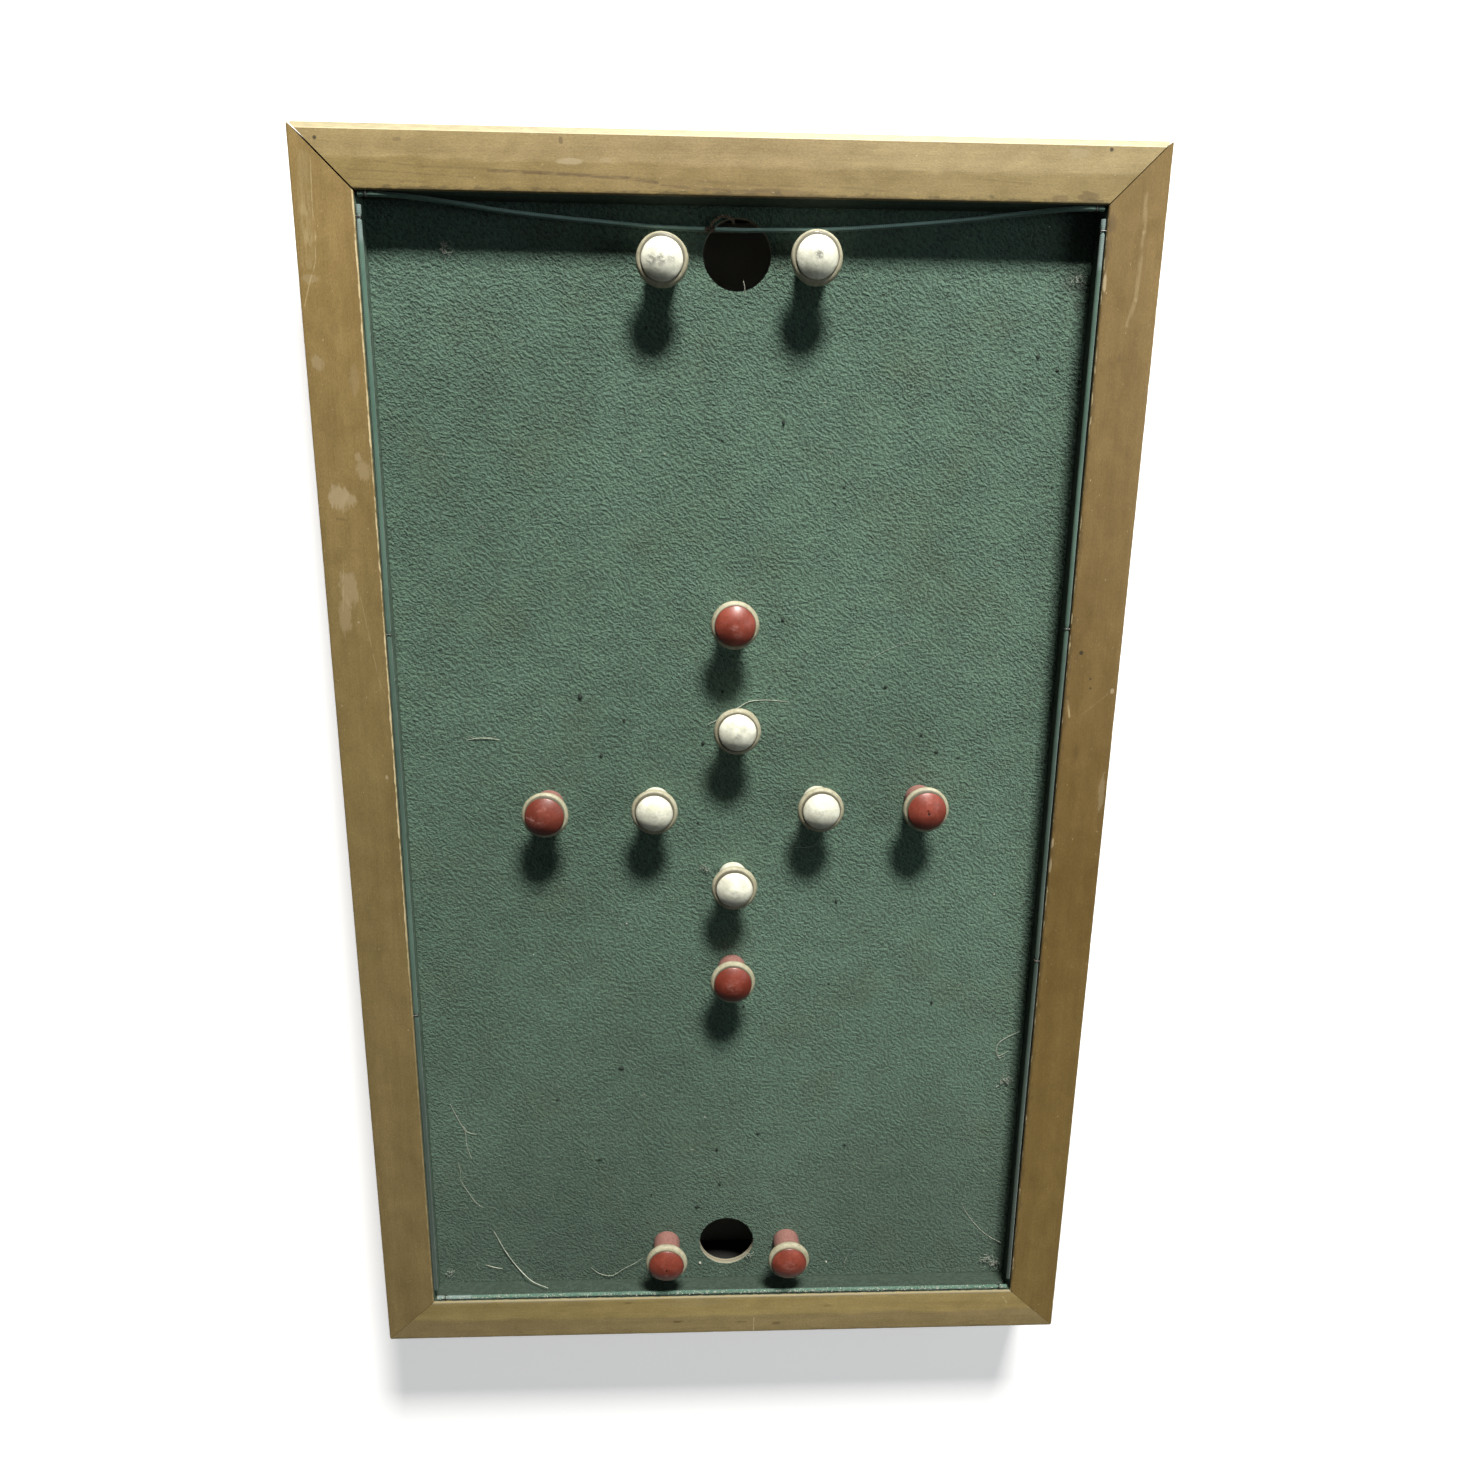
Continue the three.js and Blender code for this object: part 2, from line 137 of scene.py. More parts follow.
def smooth_line(route, spacing):
    """Points about spacing apart on the centripetal Catmull-Rom curve through the route."""
    points = [Vector(point) for point in route]
    ends = [2 * points[0] - points[1], *points, 2 * points[-1] - points[-2]]
    line = []
    for before, start, end, after in zip(ends, ends[1:], ends[2:], ends[3:]):
        knots = [math.sqrt((b - a).length) for a, b in ((before, start), (start, end), (end, after))]
        first = (start - before) / knots[0] - (end - before) / (knots[0] + knots[1])
        last = (end - start) / knots[1] - (after - start) / (knots[1] + knots[2])
        leave = knots[1] * (first + (end - start) / knots[1])
        arrive = knots[1] * (last + (after - end) / knots[2])
        steps = max(1, round((end - start).length / spacing))
        for step in range(steps):
            t = step / steps
            line.append(
                (2 * t**3 - 3 * t**2 + 1) * start
                + (t**3 - 2 * t**2 + t) * leave
                + (3 * t**2 - 2 * t**3) * end
                + (t**3 - t**2) * arrive
            )
    line.append(points[-1])
    return line


def line_lengths(line):
    """The distance along the line to each of its points."""
    lengths = [0.0]
    for start, end in zip(line, line[1:]):
        lengths.append(lengths[-1] + (end - start).length)
    return lengths


def tube(line, radius, sides):
    """Points, faces and places of a capped tube. radius(length, angle) is its radius at a point."""
    lengths = line_lengths(line)
    heading = (line[1] - line[0]).normalized()
    side = heading.orthogonal().normalized()
    points, place, faces = [], [], []
    for i, centre in enumerate(line):
        ahead = (line[min(i + 1, len(line) - 1)] - line[max(i - 1, 0)]).normalized()
        side = (heading.rotation_difference(ahead) @ side).normalized()
        heading = ahead
        up = heading.cross(side)
        for k in range(sides):
            angle = 2 * math.pi * k / sides
            out = math.cos(angle) * side + math.sin(angle) * up
            points.append(centre + radius(lengths[i], angle) * out)
            place.append((lengths[i], math.cos(angle), math.sin(angle)))
    for i in range(len(line) - 1):
        for k in range(sides):
            here, beside = i * sides + k, i * sides + (k + 1) % sides
            faces.append((here, beside, beside + sides, here + sides))
    faces.append(range(sides - 1, -1, -1))
    last = (len(line) - 1) * sides
    faces.append(range(last, last + sides))
    return points, faces, place


class Soup:
    """Several closed shapes gathered in one mesh."""

    def __init__(self):
        self.points, self.faces, self.place = [], [], []

    def add(self, points, faces, place):
        start = len(self.points)
        self.points += points
        self.faces += [[start + index for index in face] for face in faces]
        self.place += place

    def add_fibre(self, route, radius, sides=6, spacing=1.5 * MM):
        """A fibre along the route, thinner towards its ends."""
        line = smooth_line(route, spacing)
        total = line_lengths(line)[-1]

        def thinning(length, angle):
            return radius * (0.45 + 0.55 * math.sin(math.pi * min(1, 0.12 + 0.8 * length / total)))

        self.add(*tube(line, thinning, sides))

    def add_crumb(self, centre, size, draw):
        """A small uneven lump."""
        ball = bmesh.new()
        bmesh.ops.create_icosphere(ball, subdivisions=2, radius=1)
        stretch = [size * draw.uniform(0.5, 1.2) for _ in range(2)] + [size * draw.uniform(0.3, 0.6)]
        shift = draw.uniform(0, 50)
        points = []
        for vertex in ball.verts:
            bump = 1 + 0.35 * noise.noise(vertex.co * 1.4 + Vector((shift, 0, 0)))
            points.append(centre + Vector(a * b * bump for a, b in zip(vertex.co, stretch)))
        faces = [[vertex.index for vertex in face.verts] for face in ball.faces]
        ball.free()
        self.add(points, faces, [tuple(point) for point in points])

    def make(self, name, sharp=60):
        return make_object(name, self.points, self.faces, self.place, sharp)


def lathe(profile, segments, centre, closed=False, wobble=None):
    """Points, faces and places of a profile of (radius, height) turned about an upright axis."""
    points, place, rows, faces = [], [], [], []
    for row, (radius, height) in enumerate(profile):
        if radius == 0:
            rows.append([len(points)] * segments)
            points.append(centre + Vector((0, 0, height)))
            place.append((0, 0, height))
            continue
        rows.append(list(range(len(points), len(points) + segments)))
        for i in range(segments):
            angle = 2 * math.pi * i / segments
            spot = Vector((radius * math.cos(angle), radius * math.sin(angle), height))
            if wobble:
                spot = wobble(spot, angle, row)
            points.append(centre + spot)
            place.append(tuple(spot))
    pairs = list(zip(rows, rows[1:]))
    if closed:
        pairs.append((rows[-1], rows[0]))
    for low, high in pairs:
        for i in range(segments):
            j = (i + 1) % segments
            faces.append(list(dict.fromkeys((low[i], low[j], high[j], high[i]))))
    return points, faces, place


def arc(centre, radius, start, end, steps):
    """Points (a, b) round part of a circle. Angles are in degrees."""
    points = []
    for i in range(steps + 1):
        angle = math.radians(start + (end - start) * i / steps)
        points.append((centre[0] + radius * math.cos(angle), centre[1] + radius * math.sin(angle)))
    return points


def subdivided(outline, spacing):
    """A closed outline with extra points, so that no side is much longer than spacing(a, b)."""
    points = []
    for start, end in zip(outline, outline[1:] + outline[:1]):
        length = math.dist(start, end)
        steps = max(1, round(length / spacing(start, end)))
        for i in range(steps):
            t = i / steps
            points.append((start[0] + (end[0] - start[0]) * t, start[1] + (end[1] - start[1]) * t))
    return points


# ---------- Material helper ----------


# The span in which most of a noise's values lie, and the narrower one used to blend two colours.
NOISE_SPAN = (0.3, 0.7)
BLEND_SPAN = (0.35, 0.65)


class Graph:
    """The nodes of one material. Its methods take numbers, colours or sockets and return sockets."""

    def __init__(self, name):
        self.material = bpy.data.materials.new(name)
        self.material.use_nodes = True
        self.tree = self.material.node_tree
        self.shader = self.tree.nodes["Principled BSDF"]

    def connect(self, socket, value):
        if isinstance(value, bpy.types.NodeSocket):
            self.tree.links.new(socket, value)
        elif socket.type == "RGBA" and len(value) == 3:
            socket.default_value = (*value, 1)
        else:
            socket.default_value = value

    def node(self, kind, inputs, output=0, **settings):
        node = self.tree.nodes.new("ShaderNode" + kind)
        for key, value in settings.items():
            setattr(node, key, value)
        for key, value in inputs.items():
            self.connect(node.inputs[key], value)
        return node.outputs[output]

    def place(self):
        return self.node("Attribute", {}, "Vector", attribute_name="place")

    def world(self):
        return self.node("TexCoord", {}, "Object")

    def parts(self, vector):
        split = self.tree.nodes.new("ShaderNodeSeparateXYZ")
        self.connect(split.inputs[0], vector)
        return split.outputs[0], split.outputs[1], split.outputs[2]

    def join(self, x, y, z):
        return self.node("CombineXYZ", {0: x, 1: y, 2: z})

    def stretch(self, vector, scale, shift=(0, 0, 0), turn=0.0):
        """The vector turned about Z by an angle in degrees, then scaled and shifted."""
        if turn:
            inputs = {"Vector": vector, "Angle": math.radians(turn)}
            vector = self.node("VectorRotate", inputs, rotation_type="Z_AXIS")
        return self.node("Mapping", {"Vector": vector, "Scale": scale, "Location": shift})

    def math(self, operation, first, second=0.0, third=0.0, clamp=False):
        inputs = {0: first, 1: second, 2: third}
        return self.node("Math", inputs, operation=operation, use_clamp=clamp)

    def add(self, *values):
        total = values[0]
        for value in values[1:]:
            total = self.math("ADD", total, value)
        return total

    def times(self, *values):
        total = values[0]
        for value in values[1:]:
            total = self.math("MULTIPLY", total, value)
        return total

    def noise(self, vector, scale=1.0, detail=2.0, roughness=0.5, distortion=0.0):
        inputs = {
            "Vector": vector,
            "Scale": scale,
            "Detail": detail,
            "Roughness": roughness,
            "Distortion": distortion,
        }
        return self.node("TexNoise", inputs)

    def smooth(self, value, low, high, start=0.0, end=1.0):
        """Rises smoothly from start to end as value goes from low to high."""
        inputs = {"Value": value, "From Min": low, "From Max": high, "To Min": start, "To Max": end}
        return self.node("MapRange", inputs, interpolation_type="SMOOTHSTEP")

    def line(self, value, low, high, start, end):
        """Goes straight from start to end as value goes from low to high."""
        inputs = {"Value": value, "From Min": low, "From Max": high, "To Min": start, "To Max": end}
        return self.node("MapRange", inputs)

    def near(self, value, middle, width):
        """1 where value is at middle, falling to 0 at width away."""
        distance = self.math("ABSOLUTE", self.math("SUBTRACT", value, middle))
        return self.smooth(distance, width, 0.0)

    def spot(self, vector, centre, inner, outer):
        """1 within inner of a point, falling to 0 at outer."""
        distance = self.node("VectorMath", {0: vector, 1: centre}, "Value", operation="DISTANCE")
        return self.smooth(distance, outer, inner)

    def patch(self, vector, centre, reach, ragged):
        """1 inside an ellipse whose half-sizes are reach. ragged is a noise that roughens its edge."""
        offset = self.node("VectorMath", {0: vector, 1: centre}, operation="SUBTRACT")
        offset = self.node("VectorMath", {0: offset, 1: reach}, operation="DIVIDE")
        distance = self.length(offset)
        return self.smooth(self.add(distance, ragged), 1.15, 0.70)

    def stroke(self, vector, start, end, width):
        """1 along the segment from start to end, falling to 0 at width from it."""
        start, end = Vector(start), Vector(end)
        step = end - start
        from_start = self.node("VectorMath", {0: vector, 1: start}, operation="SUBTRACT")
        along = self.node("VectorMath", {0: from_start, 1: step}, "Value", operation="DOT_PRODUCT")
        share = self.math("DIVIDE", along, step.length_squared, clamp=True)
        nearest = self.node("VectorMath", {0: step, "Scale": share}, operation="SCALE")
        distance = self.node("VectorMath", {0: from_start, 1: nearest}, "Value", operation="DISTANCE")
        return self.smooth(distance, width, 0.3 * width)

    def mix(self, factor, first, second, blend="MIX"):
        inputs = {0: factor, 6: first, 7: second}
        return self.node("Mix", inputs, 2, data_type="RGBA", blend_type=blend)

    def tint(self, colour, tone):
        return self.mix(1.0, colour, tone, "MULTIPLY")

    def scale_colour(self, colour, amount):
        """The colour made lighter or darker by a varying amount."""
        return self.tint(colour, self.join(amount, amount, amount))

    def vary(self, colour, value, low, high):
        """The colour times low to high, as a noise goes through its span."""
        return self.scale_colour(colour, self.line(value, *NOISE_SPAN, low, high))

    def two_tone(self, value, first, second):
        """One colour where a noise is low, and another where it is high."""
        return self.mix(self.smooth(value, *BLEND_SPAN), first, second)

    def flat(self, vector):
        """The vector without its height."""
        x, y, _ = self.parts(vector)
        return self.join(x, y, 0)

    def length(self, vector):
        return self.node("VectorMath", {0: vector}, "Value", operation="LENGTH")

    def bump(self, height, distance, strength=1.0, under=None):
        inputs = {"Height": height, "Distance": distance, "Strength": strength}
        if under is not None:
            inputs["Normal"] = under
        return self.node("Bump", inputs)

    def finish(self, colour, roughness, normal=None, **constants):
        self.connect(self.shader.inputs["Base Color"], colour)
        self.connect(self.shader.inputs["Roughness"], roughness)
        if normal is not None:
            self.connect(self.shader.inputs["Normal"], normal)
        for key, value in constants.items():
            self.connect(self.shader.inputs[key.replace("_", " ")], value)
        return self.material


# ---------- Cord materials ----------

SLEEVE_COLOUR = (0.082, 0.165, 0.125)
SLEEVE_FADED = (0.125, 0.215, 0.170)
SLEEVE_DARK = (0.030, 0.065, 0.050)
SLEEVE_PALE = (0.200, 0.265, 0.255)
# Painted light on the loose cord: the paler colour of its side facing the key light, and that side's
# direction.
SLEEVE_PAINTED_LIGHT = (0.54, 0.82, 0.72)
KEY_LIGHT_SIDE = (0.0, 0.62, 0.78)
CORE_COLOUR = (0.085, 0.050, 0.028)
DUST_COLOUR = (0.46, 0.45, 0.38)
THREADS_ROUND = 9
BRAID_PITCH = 2.6 * MM


def toned(g, value, tones):
    """A colour that changes from one tone to the next. tones are (value, colour) in order."""
    tone = tones[0][1]
    for (start, _), (end, after) in zip(tones, tones[1:]):
        tone = g.mix(g.line(value, start, end, 0, 1), tone, after)
    return tone


def sleeve_material(name, seed, dust, tones, pale=None, tear=None, painted_light=None):
    """Braided cotton over an elastic core. tones are tints along it, pale the stretch that has
    faded most, tear the stretch without sleeve, and painted_light how much painted light brightens the side
    facing the key light, along it."""
    g = Graph(name)
    place = g.place()
    along, cosine, sine = g.parts(place)
    angle = g.math("ARCTAN2", sine, cosine)
    turn = g.times(along, 2 * math.pi / BRAID_PITCH)
    one_way = g.math("SINE", g.add(g.times(angle, THREADS_ROUND), turn))
    other_way = g.math("SINE", g.math("SUBTRACT", g.times(angle, THREADS_ROUND), turn))
    braid = g.times(one_way, other_way)
    fuzz = g.noise(g.world(), 2400, 3, 0.7)
    fading = g.noise(g.stretch(g.world(), (1, 1, 1), (seed, 0, 0)), 28, 4, 0.6)
    colour = g.mix(g.smooth(fading, 0.38, 0.66), SLEEVE_COLOUR, SLEEVE_FADED)
    colour = g.tint(colour, toned(g, along, tones))
    normal = g.node("NewGeometry", {}, "Normal")
    # Painted light: the side that faces the key light is painted paler, by the share given along the cord.
    if painted_light:
        facing = g.node("VectorMath", {0: normal, 1: KEY_LIGHT_SIDE}, "Value", operation="DOT_PRODUCT")
        share = g.times(g.smooth(facing, 0.15, 0.85), g.parts(toned(g, along, painted_light))[0])
        colour = g.mix(share, colour, SLEEVE_PAINTED_LIGHT)
    colour = g.mix(g.smooth(braid, -0.2, -0.9, 0, 0.45), colour, SLEEVE_DARK)
    if pale:
        from_start = g.smooth(along, pale[0], pale[0] + 6 * MM)
        faded = g.times(from_start, g.smooth(along, pale[1], pale[1] - 2 * MM))
        colour = g.mix(g.times(faded, 0.7), colour, SLEEVE_PALE)
    colour = g.vary(colour, fuzz, 0.82, 1.18)
    specks = g.smooth(g.noise(g.world(), 420, 4, 0.7), 0.72 - dust, 0.78)
    settled = g.times(g.smooth(g.parts(normal)[2], 0.1, 0.9), specks)
    colour = g.mix(settled, colour, DUST_COLOUR)
    if tear:
        from_start = g.smooth(along, tear[0], tear[0] + 0.2 * MM)
        bare = g.times(from_start, g.smooth(along, tear[1], tear[1] - 0.2 * MM))
        colour = g.mix(bare, colour, CORE_COLOUR)
    height = g.add(g.times(braid, 0.4), fuzz)
    return g.finish(colour, 0.92, g.bump(height, 0.12 * MM), Sheen_Weight=0.25, Sheen_Roughness=0.5)


# ---------- The loose top cord ----------

LOOSE_CORD_ROUTE = [
    (-0.236, 0.4102, 0.0179), (-0.226, 0.4102, 0.0179), (-0.216, 0.4101, 0.0171),
    (-0.204, 0.4098, 0.0146), (-0.190, 0.4091, 0.0112), (-0.172, 0.4076, 0.0078),
    (-0.155, 0.4058, 0.0052), (-0.139, 0.4044, 0.0036), (-0.123, 0.4031, 0.0026),
    (-0.106, 0.4019, 0.0020), (-0.090, 0.4008, 0.0018), (-0.073, 0.3996, 0.0017),
    (-0.057, 0.3985, 0.0017), (-0.040, 0.3979, 0.0017), (-0.025, 0.3975, 0.0017),
    (-0.010, 0.3975, 0.0016), (0.005, 0.3974, 0.0014), (0.020, 0.3975, 0.0017),
    (0.041, 0.3980, 0.0017), (0.055, 0.3984, 0.0017), (0.069, 0.3990, 0.0017),
    (0.088, 0.4002, 0.0018), (0.109, 0.4018, 0.0023), (0.128, 0.4032, 0.0034),
    (0.146, 0.4047, 0.0048), (0.162, 0.4062, 0.0064), (0.177, 0.4076, 0.0086),
    (0.192, 0.4089, 0.0113), (0.206, 0.4098, 0.0144), (0.217, 0.4101, 0.0169),
    (0.226, 0.4102, 0.0179), (0.236, 0.4102, 0.0179),
]
CORD_SPACING = 0.8 * MM
CORD_SIDES = 24
TEAR_X = (-0.0195, -0.0128)
CORE_RADIUS = 1.1 * MM
PINCH_DEPTH = 0.5 * MM
PINCH_LENGTH = 1.3 * MM

# Tints, and the painted light on its side facing the key light, by the distance along the loose cord.
LOOSE_TONES = [(0.0, (0.7, 0.7, 0.7)), (0.47, (0.7, 0.7, 0.7))]
LOOSE_PAINTED_LIGHT = [
    (0.03, (0.0, 0.0, 0.0)), (0.11, (0.8, 0.8, 0.8)), (0.21, (0.6, 0.6, 0.6)),
    (0.24, (1.0, 1.0, 1.0)), (0.36, (1.0, 1.0, 1.0)), (0.44, (0.0, 0.0, 0.0)),
]


def staple_centres(side):
    """The middle of each staple on one side, in the order of their names."""
    names = [name for name in NODE_NAMES if name.startswith(f"staple_{side}")]
    return [(sum(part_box(name), Vector()) / 2) for name in names]


def pinched(length, pinches):
    """How far the sleeve is pressed in at that length, by the staples at those lengths."""
    return sum(PINCH_DEPTH * math.exp(-(((length - at) / PINCH_LENGTH) ** 2)) for at in pinches)


def nearest_length(line, lengths, x=None, point=None):
    """The length along a line at which it passes an x, or comes nearest a point."""
    if point is not None:
        return min(zip(line, lengths), key=lambda pair: (pair[0] - point).length)[1]
    return min(zip(line, lengths), key=lambda pair: abs(pair[0].x - x))[1]


def cord_radius(pinches, seed, tear=None):
    def radius(length, angle):
        spot = Vector((length * 260, 1.3 * math.cos(angle), 1.3 * math.sin(angle) + seed))
        size = CORD_RADIUS * (1 + 0.025 * noise.noise(spot)) - pinched(length, pinches)
        if tear and tear[0] < length < tear[1]:
            return CORE_RADIUS * (1 + 0.05 * noise.noise(2 * spot))
        if tear:
            from_tear = min(abs(length - tear[0]), abs(length - tear[1]))
            size *= 1 + 0.09 * math.exp(-from_tear / (0.9 * MM)) * (1 + noise.noise(3 * spot))
        return size
    return radius


def make_loose_cord():
    route = [(x, y, CLOTH_TOP + height) for x, y, height in LOOSE_CORD_ROUTE]
    line = smooth_line(route, CORD_SPACING)
    lengths = line_lengths(line)
    pinches = [nearest_length(line, lengths, x=centre.x) for centre in staple_centres("top")]
    tear = [nearest_length(line, lengths, x=x) for x in TEAR_X]
    shape = tube(line, cord_radius(pinches, 3, tear), CORD_SIDES)
    cord = make_object("loose_cushion_cord", *shape, sharp=70)
    material = sleeve_material("loose_sleeve", 4, 0.06, LOOSE_TONES, tear=tear, painted_light=LOOSE_PAINTED_LIGHT)
    finish_piece(cord, material, ["cushion_cord_top"])
    return cord, line


def torn_threads_material():
    g = Graph("torn_threads")
    shade = g.noise(g.world(), 900, 3)
    colour = g.mix(g.smooth(shade, 0.4, 0.6), (0.11, 0.065, 0.035), (0.34, 0.30, 0.21))
    return g.finish(colour, 0.95, g.bump(shade, 0.05 * MM))


def make_torn_threads(line):
    """The frayed ends of the torn sleeve and the flap of it that curls up towards the rail."""
    draw = random.Random(17)
    threads = Soup()
    for x, way in ((TEAR_X[0], 1), (TEAR_X[1], -1)):
        centre = min(line, key=lambda point: abs(point.x - x))
        for _ in range(11):
            angle = draw.uniform(-0.3, math.pi + 0.3)
            out = Vector((0, math.cos(angle), math.sin(angle)))
            reach = draw.uniform(1.5, 4.5) * MM
            start = centre + 1.3 * MM * out - Vector((way * 1.2 * MM, 0, 0))
            middle = start + Vector((way * reach * 0.6, 0, 0)) + 0.5 * MM * out
            end = start + Vector((way * reach, draw.uniform(-1, 1) * MM, 0))
            end += draw.uniform(0, 1.2) * MM * out
            threads.add_fibre([start, middle, end], 0.11 * MM, 5, 0.5 * MM)
    base = Vector((0, 0, CLOTH_TOP))
    pulled = [(-26.5, 395.6, 1.2), (-21, 394.9, 2.9), (-16, 395.2, 3.1), (-11.5, 396.2, 1.6)]
    threads.add_fibre([base + MM * Vector(point) for point in pulled], 0.16 * MM, 6, 0.6 * MM)
    flap = [
        (-16.5, 398.7, 2.0), (-14.2, 401.6, 3.2), (-8.6, 404.9, 3.9), (-3.2, 404.2, 3.2),
        (-0.4, 400.9, 2.0),
    ]
    for _ in range(9):
        shift = Vector(draw.uniform(-0.7, 0.7) for _ in range(3))
        route = [base + MM * (Vector(point) + shift) for point in flap]
        threads.add_fibre(route, draw.uniform(0.22, 0.4) * MM, 6, 0.8 * MM)
    piece = threads.make("torn_sleeve_threads")
    return finish_piece(piece, torn_threads_material())


loose_cord, loose_line = make_loose_cord()
torn_threads = make_torn_threads(loose_line)
line_lengths(loose_line)[-1]

# ---------- The held cords ----------

MAX_BULGE = 0.4 * MM
BULGE_PER_SPAN = 0.01


def make_held_cord(side, seed, dust, tones, pale):
    """A cord stapled along a rail, standing slightly off it midway between the staples."""
    node = f"cushion_cord_{side}"
    low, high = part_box(node)
    along_x = side == "bottom"
    axis = 0 if along_x else 1
    inward = Vector((0, 1, 0)) if along_x else Vector((1 if side == "left" else -1, 0, 0))
    wall = low.y if side == "bottom" else (low.x if side == "left" else high.x)
    stops = sorted([low[axis], high[axis], *(centre[axis] for centre in staple_centres(side))])
    height = (low.z + high.z) / 2
    route = []
    for start, end in zip(stops, stops[1:]):
        bulge = min(MAX_BULGE, BULGE_PER_SPAN * (end - start))
        for part in (0, 0.25, 0.5, 0.75):
            route.append((start + (end - start) * part, bulge * math.sin(math.pi * part)))
    route.append((stops[-1], 0))
    points = []
    for at, off in route:
        across = wall + (CORD_RADIUS + off) * sum(inward)
        points.append(Vector((at, across, height) if along_x else (across, at, height)))
    line = smooth_line(points, 1.2 * MM)
    lengths = line_lengths(line)
    pinches = [stop - stops[0] for stop in stops[1:-1]]
    shape = tube(line, cord_radius(pinches, seed), CORD_SIDES)
    obj = make_object(f"held_cord_{side}", *shape, sharp=70)
    tones = [(lengths[-1] * share, (0.88 * tint, tint, 0.93 * tint)) for share, tint in tones]
    pale = [lengths[-1] * share for share in pale]
    material = sleeve_material(f"sleeve_{side}", seed, dust, tones, pale)
    return finish_piece(obj, material, [node])


# How bright each cord is along it, from its lower or left end. The places are shares of its length.
LEFT_TONES = [(0.0, 0.30), (0.20, 0.30), (0.38, 0.70), (0.56, 0.48), (0.75, 0.68), (0.93, 0.80)]
RIGHT_TONES = [(0.0, 0.20), (0.19, 0.32), (0.38, 0.31), (0.56, 0.40), (0.75, 0.64), (0.93, 0.58)]
BOTTOM_TONES = [(0.0, 0.8), (1.0, 0.8)]

make_held_cord("left", 7, 0.02, LEFT_TONES, (0.97, 1.02))
make_held_cord("right", 11, 0.03, RIGHT_TONES, (0.96, 1.02))
make_held_cord("bottom", 19, 0.24, BOTTOM_TONES, (-0.02, 0.06))

# ---------- Staples ----------

STAPLE_WIRE_RADIUS = 0.4 * MM
STAPLE_BEND_RADIUS = 0.7 * MM


def metal_material(name, colour, rust, roughness):
    g = Graph(name)
    place = g.world()
    patches = g.noise(place, 650, 5, 0.65)
    fine = g.noise(place, 3500, 2)
    mixed = g.mix(g.smooth(patches, 0.52, 0.66), colour, rust)
    mixed = g.vary(mixed, fine, 0.85, 1.12)
    rough = g.smooth(patches, 0.45, 0.66, roughness, 0.85)
    metallic = g.smooth(patches, 0.66, 0.52, 0.25, 1.0)
    g.connect(g.shader.inputs["Metallic"], metallic)
    return g.finish(mixed, rough, g.bump(patches, 0.05 * MM))


def make_staples():
    material = metal_material("staple_wire", (0.17, 0.165, 0.155), (0.10, 0.055, 0.03), 0.42)
    for side, inward in {"left": (1, 0), "right": (-1, 0), "bottom": (0, 1), "top": (0, -1)}.items():
        inward = Vector((*inward, 0))
        up = Vector((0, 0, 1))
        for node in [name for name in NODE_NAMES if name.startswith(f"staple_{side}")]:
            low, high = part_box(node)
            centre = (low + high) / 2
            reach = abs((high - low).dot(inward)) / 2 - STAPLE_WIRE_RADIUS
            half = (high.z - low.z) / 2 - STAPLE_WIRE_RADIUS
            bend = STAPLE_BEND_RADIUS
            corner = arc((reach - bend, half - bend), bend, 90, 0, 6)
            outline = [(-reach, half), *corner, *[(a, -b) for a, b in reversed(corner)], (-reach, -half)]
            line = [centre + a * inward + b * up for a, b in outline]
            shape = tube(line, lambda length, angle: STAPLE_WIRE_RADIUS, 12)
            obj = make_object(f"wire_{node}", *shape, sharp=60)
            finish_piece(obj, material, [node])


make_staples()

# ---------- Rails ----------

WOOD_LIGHT = (0.285, 0.208, 0.093)
WOOD_MIDDLE = (0.240, 0.172, 0.074)
WOOD_DARK = (0.105, 0.066, 0.026)
WOOD_PALE = (0.345, 0.270, 0.155)
WOOD_BARE = (0.60, 0.50, 0.29)
WOOD_RUBBED = (0.255, 0.215, 0.125)
BEVEL_WOOD = (0.34, 0.29, 0.16)
BEVEL_CREST = (0.62, 0.55, 0.36)
WALL_PAINT = (0.034, 0.056, 0.039)
# The left rail's wall paint is a lighter copy of the wall paint: painted light on the inner face that is
# turned to the light.
WALL_PAINT_WITH_PAINTED_LIGHT = (0.085, 0.140, 0.098)
BELOW_BED_PAINTED_SHADE = (0.0060, 0.0055, 0.0045)
DIRT = (0.022, 0.017, 0.010)
PAINT_EDGE = (61.8 * MM, 63.0 * MM)


def on_face(along, across):
    """A place on a rail's upper face, from one in millimetres."""
    return (along * MM, across * MM, RAIL_HEIGHT)


